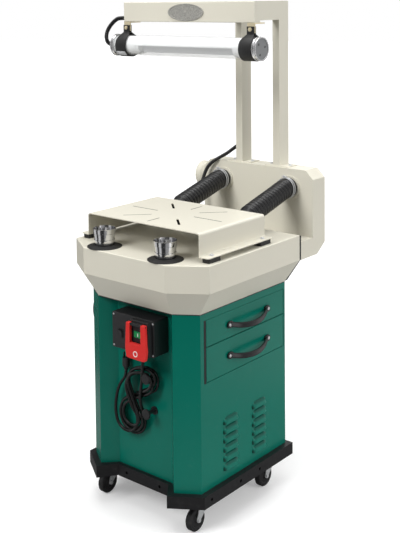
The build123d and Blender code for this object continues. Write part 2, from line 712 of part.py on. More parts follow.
def drawn_in(points, inset):
    """The corners of a closed anticlockwise outline, moved in by inset."""
    corners = []
    for before, here, after in zip(points[-1:] + points[:-1], points, points[1:] + points[:1]):
        reach, far = Vector(*here) - Vector(*before), Vector(*after) - Vector(*here)
        one, two = reach.normalized(), far.normalized()
        inward = Vector(-one.Y - two.Y, one.X + two.X) * (inset / (1 + one.dot(two)))
        corners.append((here[0] + inward.X, here[1] + inward.Y))
    return corners


def head_form(z_low, z_high, inset):
    """The head's form between two heights, drawn in by inset, all of flat faces."""
    rings = []
    for z in (z_low, HEAD_KNEE, z_high):
        rings.append([Vector(x, y, z) for x, y in drawn_in(outline_at(z), inset)])
    faces = [Face(Wire.make_polygon(rings[0], close=True)), Face(Wire.make_polygon(rings[2], close=True))]
    for k in range(len(rings[0])):
        low, low_next = rings[0][k - 1], rings[0][k]
        knee, knee_next = rings[1][k - 1], rings[1][k]
        top, top_next = rings[2][k - 1], rings[2][k]
        faces.append(Face(Wire.make_polygon([low, low_next, knee_next], close=True)))
        faces.append(Face(Wire.make_polygon([low, knee_next, knee], close=True)))
        faces.append(Face(Wire.make_polygon([knee, knee_next, top_next, top], close=True)))
    return Solid(Shell(faces))


def head_housing():
    """Welded housing: deck, upright wall, tapered skirt and the flange that rests on the cabinet."""
    outer = head_form(HEAD_BOTTOM, DECK, 0.0)
    outer = fillet(outer.edges().group_by(Axis.Z)[-1], HEAD_EDGE_R)
    inner = head_form(HEAD_BOTTOM + HEAD_T, DECK_UNDER, HEAD_T)
    mouth = plan(cabinet_outline(False), HEAD_FLANGE)
    body = outer - inner - extrude(Plane.XY.offset(HEAD_BOTTOM - 1) * mouth, amount=HEAD_T + 2)
    for sx in (-1, 1):
        body -= rod_z(sx * DRUM_X, DRUM_Y, DECK_UNDER - 1, DECK + 1, BEARING_R)
        x = sx * HOSE_X
        spigot_r = HOSE_R - HOSE_WALL - TOUCH
        body += rod_z(x, HOSE_DECK_Y, DECK, DECK + COLLAR_T, COLLAR_R)
        spigot_top = DECK + COLLAR_T + HOSE_LEG
        body += rod_z(x, HOSE_DECK_Y, DECK, spigot_top, spigot_r)
        body -= rod_z(x, HOSE_DECK_Y, DECK_UNDER - 1, spigot_top + 1, spigot_r - SPIGOT_WALL)
    return body


def head_gaskets():
    """Black strip between cabinet and head, and the black rear plate that carries the dust box."""
    ring = plan(cabinet_outline(False)) - plan(cabinet_outline(False), HEAD_FLANGE - 5)
    strip = extrude(Plane.XY.offset(CAB_TOP) * ring, amount=GASKET)
    half = HEAD_HALF_X - PLATE_MARGIN
    top = DECK - HEAD_EDGE_R
    rear = HEAD_REAR + REAR_PLATE_T
    side = Polygon((CAB_REAR, HEAD_BOTTOM), (rear, HEAD_BOTTOM), (rear, top), (HEAD_REAR, top), (HEAD_REAR, HEAD_KNEE),
                   align=None)
    plate = extrude(Plane.YZ.offset(-half) * side, amount=2 * half, dir=(1, 0, 0))
    right = [(CAB_HALF_X - PLATE_MARGIN, HEAD_BOTTOM), (half, HEAD_KNEE), (half, top)]
    face = Plane.XZ.offset(-CAB_REAR + 1) * Polygon(*right, *[(-x, z) for x, z in reversed(right)], align=None)
    plate &= extrude(face, amount=rear - CAB_REAR + 2, dir=(0, 1, 0))
    return group([strip, plate])


# ---- drums and drive -------------------------------------------------------------------------
def drum(x):
    """Cup-shaped drum: tapered foot, seam ring, body and a rolled lip, with a hub in its floor."""
    seam = DRUM_FOOT + DRUM_SEAM_H
    lip = DRUM_RIM - DRUM_LIP_H
    wall = DRUM_WALL
    floor = DRUM_FOOT + 9.0
    outside = [
        (SPINDLE_R + 0.02, DRUM_FOOT), (DRUM_FOOT_R, DRUM_FOOT), (DRUM_SEAM_R - 1.6, seam - 1.4),
        (DRUM_SEAM_R, seam - 1.4), (DRUM_SEAM_R, seam + 1.4), (DRUM_SEAM_R - 1.2, seam + 1.4),
        (DRUM_LIP_R, lip), (DRUM_LIP_R + 1.0, lip + 1.0), (DRUM_RIM_R - 0.6, DRUM_RIM - 2.0),
        (DRUM_RIM_R, DRUM_RIM),
    ]
    inside = [
        (DRUM_RIM_R - wall, DRUM_RIM), (DRUM_LIP_R - wall, lip), (DRUM_SEAM_R - 1.6 - wall, seam),
        (DRUM_FOOT_R - wall, floor), (SPINDLE_R + 7.0, floor), (SPINDLE_R + 7.0, floor + 5.0),
        (SPINDLE_R + 0.02, floor + 5.0),
    ]
    return turned(outside + inside, x, DRUM_Y)


def spindle(x):
    """Drum spindle with its pulley below the bearings and a hex nut on top."""
    top = DRUM_FOOT + 20.0
    low = PULLEY_Z - PULLEY_W / 2 - 4.0
    shaft = rod_z(x, DRUM_Y, low, top, SPINDLE_R)
    nut_z = DRUM_FOOT + 14.0
    nut = extrude(Plane.XY.offset(nut_z) * RegularPolygon(15.0, 6), amount=9.0)
    nut = Pos(x, DRUM_Y, 0) * nut - rod_z(x, DRUM_Y, nut_z - 1, nut_z + 10, SPINDLE_R + 0.02)
    return group([shaft, nut, pulley(x, DRUM_Y, SPINDLE_R)])


def pulley(x, y, shaft_r):
    """Single-groove pulley centred on the belt."""
    half = PULLEY_W / 2
    groove = BELT_W / 2 + 0.7
    bore = shaft_r + 0.02
    profile = [
        (bore, PULLEY_Z - half), (PULLEY_R, PULLEY_Z - half), (PULLEY_R, PULLEY_Z - groove - 1.0),
        (GROOVE_R, PULLEY_Z - groove), (GROOVE_R, PULLEY_Z + groove), (PULLEY_R, PULLEY_Z + groove + 1.0),
        (PULLEY_R, PULLEY_Z + half), (bore, PULLEY_Z + half),
    ]
    return turned(profile, x, y)


def dust_skirts():
    """Rubber skirts that close the deck round the foot of each drum."""
    inner = DRUM_FOOT_R + 2.5
    profile = [
        (inner, DECK), (SKIRT_R, DECK), (SKIRT_R, DECK + 1.5), (SKIRT_R - 8.0, DECK + 3.5),
        (inner + 5.0, DECK + SKIRT_H), (inner, DECK + SKIRT_H),
    ]
    return group([turned(profile, sx * DRUM_X, DRUM_Y) for sx in (-1, 1)])


def spindle_housings():
    """Flanged tubes under the deck that hold the spindle bearings."""
    z1 = HOUSING_TOP
    z0 = z1 - HOUSING_H
    waist = z0 + BEARING_W + 2.0
    waist_top = z1 - BEARING_W
    lip = BEARING_R - 4.0
    profile = [
        (BEARING_R, z1), (HOUSING_FLANGE_R, z1), (HOUSING_FLANGE_R, z1 - 7.0), (HOUSING_R, z1 - 7.0),
        (HOUSING_R, z0), (lip, z0), (lip, z0 + 2.0), (BEARING_R, z0 + 2.0), (BEARING_R, waist),
        (lip, waist), (lip, waist_top), (BEARING_R, waist_top),
    ]
    return group([turned(profile, sx * DRUM_X, DRUM_Y) for sx in (-1, 1)])


def spindle_bearings():
    """Two ball bearings on each spindle, drawn as rings."""
    rings = []
    for sx in (-1, 1):
        for z in (HOUSING_TOP - BEARING_W, HOUSING_TOP - HOUSING_H + 2.0):
            ring = rod_z(sx * DRUM_X, DRUM_Y, z, z + BEARING_W, BEARING_R)
            ring -= rod_z(sx * DRUM_X, DRUM_Y, z - 1, z + BEARING_W + 1, SPINDLE_R + RUN)
            for side in (0.0, BEARING_W):
                track = rod_z(sx * DRUM_X, DRUM_Y, z + side - 1.2, z + side + 1.2, BEARING_R - 4.0)
                track -= rod_z(sx * DRUM_X, DRUM_Y, z + side - 2, z + side + 2, SPINDLE_R + 4.0)
                ring -= track
            rings.append(ring)
    return group(rings)


def drive_belt():
    """One belt round the motor pulley and both spindle pulleys."""
    centres = [(MOTOR_X, MOTOR_Y), (-DRUM_X, DRUM_Y), (DRUM_X, DRUM_Y)]
    inner_r = GROOVE_R + 0.5
    loops = []
    for radius in (inner_r + BELT_T, inner_r):
        edges = ShapeList()
        for x, y in centres:
            edges += (Pos(x, y) * Circle(radius)).edges()
        loops.append(make_hull(edges))
    face = loops[0] - loops[1]
    return extrude(Plane.XY.offset(PULLEY_Z - BELT_W / 2) * face, amount=BELT_W)


def motor_plate():
    """Cross plate on the head's lower flange that the motor hangs from."""
    z0 = HEAD_BOTTOM + HEAD_T
    half = CAB_HALF_X - HEAD_T - 4.0
    plate = block(-half, half, -MOTOR_PLATE_Y, MOTOR_PLATE_Y, z0, z0 + MOTOR_PLATE_T)
    plate -= rod_z(MOTOR_X, MOTOR_Y, z0 - 1, z0 + MOTOR_PLATE_T + 1, 34.0)
    return plate


def motor_body():
    """Vertical motor: ribbed body, end bells, fan cowl and terminal box."""
    z1 = HEAD_BOTTOM + HEAD_T
    z0 = z1 - MOTOR_H
    bore = MOTOR_SHAFT_R + RUN
    profile = [
        (bore, z1), (MOTOR_R, z1), (MOTOR_R, z1 - 10), (MOTOR_R - 10, z1 - 16), (MOTOR_R - 10, z1 - 30),
        (MOTOR_R - 4, z1 - 34), (MOTOR_R - 4, z0 + 60), (MOTOR_R - 8, z0 + 56), (MOTOR_R - 8, z0 + 46),
        (MOTOR_R - 2, z0 + 44), (MOTOR_R - 2, z0 + 8), (MOTOR_R - 12, z0), (0, z0), (0, z1 - 60),
        (bore, z1 - 60),
    ]
    body = turned(profile, MOTOR_X, MOTOR_Y)
    for k in range(12):
        fin = block(-1.5, 1.5, MOTOR_R - 6, MOTOR_R + 3, z0 + 62, z1 - 36)
        body += Pos(MOTOR_X, MOTOR_Y, 0) * Rot(0, 0, 30.0 * k + 15) * fin
    box = block(MOTOR_X - 45, MOTOR_X + 45, MOTOR_Y + MOTOR_R - 8, MOTOR_Y + MOTOR_R + 34, z0 + 80, z0 + 150)
    return body + fillet(box.edges().filter_by(Axis.Y), 6)


def motor_rotor():
    """Motor shaft end with the drive pulley."""
    z0 = HEAD_BOTTOM + HEAD_T - 60.0 + 0.5
    shaft = rod_z(MOTOR_X, MOTOR_Y, z0, PULLEY_Z + PULLEY_W / 2 + 4.0, MOTOR_SHAFT_R)
    return group([shaft, pulley(MOTOR_X, MOTOR_Y, MOTOR_SHAFT_R)])


# ---- work table ------------------------------------------------------------------------------
def slot_cut(angle, length, width, start):
    """Radial slot cut through the table top, with round ends."""
    cx = 0.0
    cy = (TABLE_FRONT + TABLE_REAR) / 2
    cutter = extrude(Plane.XY.offset(TABLE_TOP - 3 * TABLE_T) * SlotOverall(length, width), amount=6 * TABLE_T)
    return Pos(cx, cy, 0) * Rot(0, 0, angle) * Pos(start + length / 2, 0, 0) * cutter


def work_table():
    """Bent tray: slotted top, two side walls and the outward flanges it stands on."""
    half = TABLE_HALF_X
    outer = half + TABLE_FLANGE
    low = FLANGE_TOP - TABLE_T
    section = [
        (-outer, low), (-half + TABLE_T, low), (-half + TABLE_T, TABLE_TOP - TABLE_T),
        (half - TABLE_T, TABLE_TOP - TABLE_T), (half - TABLE_T, low), (outer, low), (outer, FLANGE_TOP),
        (half, FLANGE_TOP), (half, TABLE_TOP), (-half, TABLE_TOP), (-half, FLANGE_TOP), (-outer, FLANGE_TOP),
    ]
    face = Plane.XZ.offset(-TABLE_FRONT) * Polygon(*section, align=None)
    body = extrude(face, amount=TABLE_REAR - TABLE_FRONT, dir=(0, 1, 0))
    for x, z, radius in (
        (half, TABLE_TOP, TABLE_BEND_R),
        (half - TABLE_T, TABLE_TOP - TABLE_T, TABLE_BEND_R - TABLE_T),
        (half, FLANGE_TOP, TABLE_HEEL_R),
    ):
        lines = body.edges().filter_by(Axis.Y)
        bend = [e for e in lines if abs(e.center().Z - z) < 0.1 and abs(abs(e.center().X) - x) < 0.1]
        body = fillet(bend, radius)
    corners = [e for e in body.edges().filter_by(Axis.Z) if abs(abs(e.center().X) - outer) < 0.1]
    body = fillet(corners, 10.0)
    slots = [
        (0, SLOT_SIDE_L, SLOT_THIN, SLOT_HUB), (180, SLOT_SIDE_L, SLOT_THIN, SLOT_HUB),
        (90, SLOT_FRONT_L, SLOT_THIN, SLOT_HUB), (270, SLOT_FRONT_L, SLOT_THIN, SLOT_HUB),
        (45, SLOT_DIAGONAL_L, SLOT_THIN, SLOT_HUB), (225, SLOT_DIAGONAL_L, SLOT_THIN, SLOT_HUB),
        (135, SLOT_THICK_L, SLOT_THICK, SLOT_HUB), (315, SLOT_THICK_L, SLOT_THICK, SLOT_HUB),
    ]
    for angle, length, width, start in slots:
        body -= slot_cut(angle, length, width, start)
    return body


def foot_places():
    """Middles of the four rubber feet under the table's flanges."""
    x = TABLE_HALF_X + TABLE_FLANGE / 2
    front = TABLE_FRONT + FOOT_INSET + FOOT_L / 2
    rear = TABLE_REAR - FOOT_INSET - FOOT_L / 2
    return [(sx * x, y) for sx in (-1, 1) for y in (front, rear)]


def table_feet():
    """Rubber blocks between the deck and the table."""
    feet = []
    for x, y in foot_places():
        foot = block(x - FOOT_W / 2, x + FOOT_W / 2, y - FOOT_L / 2, y + FOOT_L / 2, DECK, DECK + FOOT_H)
        feet.append(fillet(foot.edges().filter_by(Axis.Z), 4))
    return group(feet)


def fixing_screws():
    """Slotted screws and washers: table flanges, post feet and control-box cover."""
    screws = []
    for x, y in foot_places():
        washer = rod_z(x, y, FLANGE_TOP, FLANGE_TOP + 1.4, 8.5)
        screws.append(washer + Pos(x, y, FLANGE_TOP + 1.4) * Rot(0, 0, 40) * pan_screw(6.0, 3.6))
    plate_top = BOX_TOP + FOOT_PLATE[2]
    for sx in (-1, 1):
        for dx in (-FOOT_SCREW_X, FOOT_SCREW_X):
            x = sx * POST_X + dx
            washer = rod_z(x, POST_Y, plate_top, plate_top + 1.4, 7.5)
            screws.append(washer + Pos(x, POST_Y, plate_top + 1.4) * Rot(0, 0, 25) * pan_screw(5.2, 3.6))
    for x in (CONTROL_X0 + 8.0, CONTROL_X1 - 4.5):
        for z in (CONTROL_Z0 + 8.0, CONTROL_Z1 - 8.0):
            front = Plane(origin=(x, COVER_Y, z), x_dir=(1, 0, 0), z_dir=(0, -1, 0))
            screws.append(front * pan_screw(3.2, 1.6))
    return group(screws)


# ---- hoses -----------------------------------------------------------------------------------
def hose_path(x):
    """Centre line: out of the dust box, down under the table's rear edge, then upright into the deck."""
    y_end = BOX_FRONT - COLLAR_T - TOUCH
    slope = atan2(PORT_Z - HOSE_CORNER_Z, HOSE_TURN_Y - HOSE_DECK_Y)
    foot_r = (HOSE_CORNER_Z - HOSE_FOOT_Z - HOSE_LEG) / tan((pi / 2 - slope) / 2)
    corners = [
        (x, y_end, PORT_Z), (x, HOSE_TURN_Y, PORT_Z), (x, HOSE_DECK_Y, HOSE_CORNER_Z),
        (x, HOSE_DECK_Y, HOSE_FOOT_Z),
    ]
    return FilletPolyline(*corners, radius=[HOSE_FALL_R, foot_r])


def dust_hoses():
    """Left and right hoses from the deck to the dust box."""
    hoses = []
    for sx in (-1, 1):
        path = hose_path(sx * HOSE_X)
        start = Plane(origin=path @ 0, z_dir=path % 0)
        ring = start * (Circle(HOSE_R) - Circle(HOSE_R - HOSE_WALL))
        hoses.append(sweep(ring, path=path))
    return group(hoses)


def hose_clamps():
    """Double-wire clamps at the hoses' box ends, each with its screw lug."""
    clamps = []
    ring_r = HOSE_R + TOUCH + CLAMP_WIRE_R
    for sx in (-1, 1):
        origin = (sx * HOSE_X, BOX_FRONT - COLLAR_T - CLAMP_IN, PORT_Z)
        place = Plane(origin=origin, x_dir=(1, 0, 0), z_dir=(0, -1, 0)) * Rot(0, 0, CLAMP_TURN)
        wires = Torus(ring_r, CLAMP_WIRE_R) + Pos(0, 0, CLAMP_PITCH) * Torus(ring_r, CLAMP_WIRE_R)
        lug = Pos(ring_r + 2.5, 0, CLAMP_PITCH / 2) * Box(5.0, 9.0, CLAMP_PITCH + 4.0)
        screw = Pos(ring_r + 3.0, 0, CLAMP_PITCH / 2) * Rot(90, 0, 0) * Cylinder(2.2, 24.0)
        clamps.append(place * (wires + lug + screw))
    return group(clamps)


# ---- dust box --------------------------------------------------------------------------------
def box_form(inset):
    """Hooked side profile of the dust box, cut off at the top corners."""
    profile = [
        (HEAD_REAR + REAR_PLATE_T, BOX_BOTTOM), (BOX_REAR - BOX_HEEL_Y, BOX_BOTTOM),
        (BOX_REAR, BOX_BOTTOM + BOX_HEEL_Z), (BOX_REAR, BOX_TOP), (BOX_FRONT, BOX_TOP),
        (BOX_FRONT, BOX_SHELF), (HEAD_REAR + REAR_PLATE_T, BOX_SHELF),
    ]
    half = BOX_HALF_X - inset
    face = Plane.YZ.offset(-half) * plan(profile, inset)
    form = extrude(face, amount=2 * half)
    tops = [e for e in form.edges().filter_by(Axis.Y) if abs(e.center().Z - BOX_TOP + inset) < 0.1]
    return chamfer(tops, BOX_TOP_CUT - 0.41 * inset)


def dust_box():
    """Folded box behind the head with two hose spigots in front and the outlet on its left side."""
    body = box_form(0.0) - box_form(BOX_T)
    spigot_r = HOSE_R - HOSE_WALL - TOUCH
    for sx in (-1, 1):
        x = sx * HOSE_X
        body += rod_y(x, BOX_FRONT - COLLAR_T, BOX_FRONT, PORT_Z, COLLAR_R)
        body += rod_y(x, BOX_FRONT - SPIGOT_L, BOX_FRONT, PORT_Z, spigot_r)
        body -= rod_y(x, BOX_FRONT - SPIGOT_L - 1, BOX_FRONT + BOX_T + 1, PORT_Z, spigot_r - SPIGOT_WALL)
    return body - rod_x(-BOX_HALF_X - 1, -BOX_HALF_X + BOX_T + 1, outlet_y(), OUTLET_Z, OUTLET_R - OUTLET_WALL - 8)


def outlet_y():
    """The outlet sits just in front of the box's rear wall."""
    return (BOX_FRONT + BOX_REAR) / 2


def dust_outlet():
    """Round outlet collar for the shop's dust pipe, on the left side of the box."""
    x1 = -BOX_HALF_X
    x0 = x1 - OUTLET_L
    y = outlet_y()
    flange = rod_x(x1 - 2.5, x1, y, OUTLET_Z, OUTLET_NECK_R + 2)
    neck = loft([
        Plane.YZ.offset(x1) * Pos(y, OUTLET_Z) * Circle(OUTLET_NECK_R),
        Plane.YZ.offset(x1 - OUTLET_FLARE_L) * Pos(y, OUTLET_Z) * Circle(OUTLET_R),
    ])
    body = neck + rod_x(x0, x1 - OUTLET_FLARE_L, y, OUTLET_Z, OUTLET_R) + flange
    hollow = loft([
        Plane.YZ.offset(x1 + 1) * Pos(y, OUTLET_Z) * Circle(OUTLET_NECK_R - OUTLET_WALL),
        Plane.YZ.offset(x1 - OUTLET_FLARE_L) * Pos(y, OUTLET_Z) * Circle(OUTLET_R - OUTLET_WALL),
    ])
    return body - hollow - rod_x(x0 - 1, x1 - OUTLET_FLARE_L, y, OUTLET_Z, OUTLET_R - OUTLET_WALL)


# ---- lamp frame ------------------------------------------------------------------------------
def hollow_bar(size, wall, axis):
    """Rectangular tube with its length along the named axis, centred on the origin."""
    outer = Box(*size)
    inner = [length - 2 * wall for length in size]
    inner["XYZ".index(axis)] = size["XYZ".index(axis)] + 2
    return outer - Box(*inner)


def lamp_posts():
    """Two upright tubes with their foot plates, and the two arms that reach forward to the beam."""
    solids = []
    z0 = BOX_TOP + FOOT_PLATE[2]
    arm_rear = POST_FRONT
    arm_front = BEAM_FRONT + POST_W
    for sx in (-1, 1):
        x = sx * POST_X
        post = Pos(x, POST_Y, (z0 + FRAME_TOP) / 2) * hollow_bar((POST_W, POST_D, FRAME_TOP - z0), TUBE_WALL, "Z")
        post += block(x - POST_W / 2, x + POST_W / 2, POST_FRONT, POST_FRONT + POST_D, FRAME_TOP - TUBE_WALL, FRAME_TOP)
        px, py, pz = FOOT_PLATE
        foot = block(x - px / 2, x + px / 2, POST_Y - py / 2, POST_Y + py / 2, BOX_TOP, z0)
        post += fillet(foot.edges().filter_by(Axis.Z), 4)
        solids.append(post)
        arm = Pos(x, (arm_front + arm_rear) / 2, FRAME_TOP - BEAM_H / 2)
        solids.append(arm * hollow_bar((POST_W, arm_rear - arm_front, BEAM_H), TUBE_WALL, "Y"))
    return group(solids)


def lamp_beam():
    """Cross beam with closed ends."""
    middle = (BEAM_FRONT + BEAM_FRONT + POST_W) / 2
    beam = Pos(0, middle, FRAME_TOP - BEAM_H / 2) * Box(2 * BEAM_HALF_X, POST_W, BEAM_H)
    beam = fillet(beam.edges().filter_by(Axis.X), 2.5)
    core = Box(2 * (BEAM_HALF_X - TUBE_WALL), POST_W - 2 * TUBE_WALL, BEAM_H - 2 * TUBE_WALL)
    return beam - Pos(0, middle, FRAME_TOP - BEAM_H / 2) * core


# ---- lamp ------------------------------------------------------------------------------------
def lamp_glass():
    """Clear protective tube."""
    x0 = LAMP_X0 + CAP_L - CAP_SKIRT
    x1 = LAMP_X1 - CAP_L + CAP_SKIRT
    tube = rod_x(x0, x1, LAMP_Y, LAMP_Z, GLASS_R)
    return tube - rod_x(x0 - 1, x1 + 1, LAMP_Y, LAMP_Z, GLASS_R - GLASS_T)


def lamp_end_caps():
    """Turned metal caps with a rolled edge; the left one has the cable gland on its axis."""
    caps = []
    for x_end, inward in ((LAMP_X0, 1), (LAMP_X1, -1)):
        skirt = CAP_L
        step = 6.0
        profile = [
            (0, 0), (CAP_R - 2, 0), (CAP_R, 2), (CAP_R, step), (CAP_R - 1.6, step + 1.2),
            (CAP_R - 1.6, skirt - 3), (CAP_R - 0.4, skirt - 2), (CAP_R - 0.4, skirt),
            (GLASS_R + 0.02, skirt), (GLASS_R + 0.02, skirt - CAP_SKIRT), (0, skirt - CAP_SKIRT),
        ]
        cap = turned(profile)
        for k in range(3):
            angle = radians(90 + 120 * k)
            spot = Pos(0.62 * CAP_R * cos(angle), 0.62 * CAP_R * sin(angle), 0)
            cap -= spot * Cylinder(4.2, 4.0)
            cap += spot * Pos(0, 0, 2.0) * Cylinder(2.6, 2.0, align=(Align.CENTER, Align.CENTER, Align.MAX))
        if inward > 0:
            cap += Cylinder(CABLE_R + 4.0, CAP_NOSE, align=(Align.CENTER, Align.CENTER, Align.MAX))
        turn = Rot(0, 90, 0) if inward > 0 else Rot(0, -90, 0)
        caps.append(Pos(x_end, LAMP_Y, LAMP_Z) * turn * cap)
    return group(caps)


def lamp_light_unit():
    """LED strip on its carrier between two white sockets, held in the end caps."""
    x0 = LAMP_X0 + CAP_L - CAP_SKIRT
    x1 = LAMP_X1 - CAP_L + CAP_SKIRT
    sockets = []
    left, right = SOCKET_L
    for near, far in ((x0, x0 + left), (x1 - right, x1)):
        sockets.append(rod_x(near, far, LAMP_Y, LAMP_Z, SOCKET_R))
    strip = block(x0 + left, x1 - right, LAMP_Y - STRIP_T, LAMP_Y + STRIP_T,
                  LAMP_Z - STRIP_H / 2, LAMP_Z + STRIP_H / 2)
    return sockets[0] + sockets[1] + strip


def lamp_straps():
    """Band clamps round the tube, with two ears above that pinch the bracket."""
    straps = []
    inner = GLASS_R + TOUCH
    outer = inner + STRAP_T
    for x in STRAP_X:
        band = rod_x(x - STRAP_W / 2, x + STRAP_W / 2, LAMP_Y, LAMP_Z, outer)
        ear_x = BRACKET_W / 2
        for sy in (-1, 1):
            near, far = sorted((sy * (BRACKET_T / 2 + 0.05), sy * (BRACKET_T / 2 + 3.0)))
            band += block(x - ear_x, x + ear_x, LAMP_Y + near, LAMP_Y + far,
                          LAMP_Z + outer - 3.0, LAMP_Z + outer + STRAP_EAR_H)
        band -= rod_x(x - STRAP_W, x + STRAP_W, LAMP_Y, LAMP_Z, inner)
        z = bolt_z()
        band -= rod_y(x, LAMP_Y - 20, LAMP_Y + 20, z, LAMP_BOLT_R + 0.1)
        straps.append(band)
    return group(straps)


def bolt_z():
    """Height of the bolt through each strap's ears."""
    return LAMP_Z + GLASS_R + TOUCH + STRAP_T + STRAP_EAR_H - 10.0


def lamp_brackets():
    """Zinc angle brackets under the beam, with the bolts that pinch the straps."""
    solids = []
    for x in STRAP_X:
        half = BRACKET_W / 2
        top = block(x - half, x + half, BEAM_FRONT, BEAM_FRONT + POST_W + BRACKET_REAR,
                    BEAM_UNDER - BRACKET_T, BEAM_UNDER)
        leg = block(x - half, x + half, LAMP_Y - BRACKET_T / 2, LAMP_Y + BRACKET_T / 2,
                    bolt_z() - 12.0, BEAM_UNDER)
        bracket = top + leg - rod_y(x, LAMP_Y - 9, LAMP_Y + 9, bolt_z(), LAMP_BOLT_R + 0.1)
        solids.append(bracket)
        reach = BRACKET_T / 2 + 3.0
        bolt = rod_y(x, LAMP_Y - reach - 7.0, LAMP_Y + reach + 6.0, bolt_z(), LAMP_BOLT_R)
        head = extrude(RegularPolygon(7.5, 6), amount=5.0)
        bolt += Plane(origin=(x, LAMP_Y - reach, bolt_z()), x_dir=(1, 0, 0), z_dir=(0, -1, 0)) * head
        bolt += Plane(origin=(x, LAMP_Y + reach, bolt_z()), x_dir=(1, 0, 0), z_dir=(0, 1, 0)) * head
        solids.append(bolt)
        rear_y = BEAM_FRONT + POST_W + BRACKET_REAR / 2
        solids.append(Pos(x, rear_y, BEAM_UNDER) * pan_screw(5.5, 4.0))
    return group(solids)


# ---- control box -----------------------------------------------------------------------------
def control_box():
    """Moulded box on the recessed front with its screwed cover."""
    body = block(CONTROL_X0, CONTROL_X1, COVER_Y + COVER_T, CAB_NOTCH_Y, CONTROL_Z0, CONTROL_Z1)
    body = fillet(body.edges().filter_by(Axis.Y), 5)
    cover = block(CONTROL_X0, CONTROL_X1, COVER_Y, COVER_Y + COVER_T - 0.6, CONTROL_Z0, CONTROL_Z1)
    cover = fillet(cover.edges().filter_by(Axis.Y), 5)
    cover = chamfer(cover.faces().sort_by(Axis.Y)[0].edges(), 1.5)
    seal = block(CONTROL_X0 + 2, CONTROL_X1 - 2, COVER_Y + COVER_T - 0.6, COVER_Y + COVER_T,
                 CONTROL_Z0 + 2, CONTROL_Z1 - 2)
    pocket = block(ROCKER_X - ROCKER_W / 2 - TOUCH, ROCKER_X + ROCKER_W / 2 + TOUCH, COVER_Y - 9, COVER_Y + 14,
                   ROCKER_Z - ROCKER_H / 2 - ROCKER_GAP, ROCKER_Z + ROCKER_H / 2 + ROCKER_GAP)
    axle = rod_x(ROCKER_X - ROCKER_W / 2 - 1, ROCKER_X + ROCKER_W / 2 + 1, COVER_Y + ROCKER_AXLE_IN, ROCKER_Z, ROCKER_AXLE_R)
    bezel = block(ROCKER_X - ROCKER_W / 2 - 3, ROCKER_X + ROCKER_W / 2 + 3, COVER_Y - 2.0, COVER_Y,
                  ROCKER_Z - ROCKER_H / 2 - 3, ROCKER_Z + ROCKER_H / 2 + 3)
    return body + seal + cover + bezel - pocket + axle


def switch_housing():
    """Raised switch block with wells for the two buttons and the ears of the paddle's pivot."""
    z0 = CONTROL_Z0 + SWITCH_INSET_Z
    z1 = CONTROL_Z1 - SWITCH_INSET_Z
    body = block(SWITCH_X0, SWITCH_X1, SWITCH_Y, COVER_Y, z0, z1)
    body = fillet(body.edges().filter_by(Axis.Y), 4)
    body = chamfer(body.faces().sort_by(Axis.Y)[0].edges(), 1.5)
    x = (PADDLE_X0 + PADDLE_X1) / 2
    gap = 0.5
    body -= block(x - ON_W / 2 - gap, x + ON_W / 2 + gap, SWITCH_Y - 1, SWITCH_Y + 12,
                  ON_Z - ON_H / 2 - gap, ON_Z + ON_H / 2 + gap)
    body -= rod_y(x, SWITCH_Y - 1, SWITCH_Y + 12, STOP_Z, STOP_R + gap)
    lug_x0 = PADDLE_X0 + PADDLE_ARM_L + 1.0
    lug_x1 = PADDLE_X1 - PADDLE_ARM_R - 1.0
    lug = block(lug_x0, lug_x1, PADDLE_Y - 3.5, SWITCH_Y + 1, PADDLE_PIVOT_Z - 3.5, PADDLE_PIVOT_Z + 3.5)
    pin = rod_x(PADDLE_X0 + 5.0, PADDLE_X1 - 5.0, PADDLE_Y, PADDLE_PIVOT_Z, PADDLE_PIN_R)
    return body + lug + pin


def stop_paddle():
    """Red paddle: broad lower plate, two arms up to the pivot and a window for the start button."""
    x0, x1 = PADDLE_X0, PADDLE_X1
    top = PADDLE_PIVOT_Z + 5.0
    outline = Polygon(
        (x0 + 5, PADDLE_Z0), (x1 - 5, PADDLE_Z0), (x1, PADDLE_Z0 + 34), (x1 - 2, PADDLE_MOUTH_Z),
        (x1 - 5, top), (x1 - PADDLE_ARM_R, top), (x1 - PADDLE_ARM_R, PADDLE_MOUTH_Z),
        (x0 + PADDLE_ARM_L, PADDLE_MOUTH_Z), (x0 + PADDLE_ARM_L, top), (x0 + 5, top),
        (x0 + 1, PADDLE_MOUTH_Z), (x0, PADDLE_Z0 + 34), align=None)
    plate = extrude(Plane.XZ.offset(-PADDLE_Y + PADDLE_T / 2) * outline, amount=PADDLE_T, dir=(0, 1, 0))
    low = [e for e in plate.edges().filter_by(Axis.Y) if e.center().Z < PADDLE_Z0 + 1]
    plate = fillet(low, 9)
    tips = [e for e in plate.edges().filter_by(Axis.Y) if e.center().Z > top - 1]
    plate = fillet(tips, 4)
    front = plate.faces().sort_by(Axis.Y)[0]
    plate = fillet(front.edges(), 2.0)
    return plate - rod_x(x0 - 1, x1 + 1, PADDLE_Y, PADDLE_PIVOT_Z, PADDLE_PIN_R + RUN)


def on_button():
    """Rectangular start button."""
    x = (PADDLE_X0 + PADDLE_X1) / 2
    button = block(x - ON_W / 2, x + ON_W / 2, SWITCH_Y - BUTTON_OUT, SWITCH_Y + 7,
                   ON_Z - ON_H / 2, ON_Z + ON_H / 2)
    return fillet(button.faces().sort_by(Axis.Y)[0].edges(), 1.2)


def stop_button():
    """Round stop button behind the paddle."""
    x = (PADDLE_X0 + PADDLE_X1) / 2
    button = rod_y(x, SWITCH_Y - PADDLE_GAP + STOP_GAP, SWITCH_Y + 7, STOP_Z, STOP_R)
    return chamfer(button.faces().sort_by(Axis.Y)[0].edges(), 1.0)


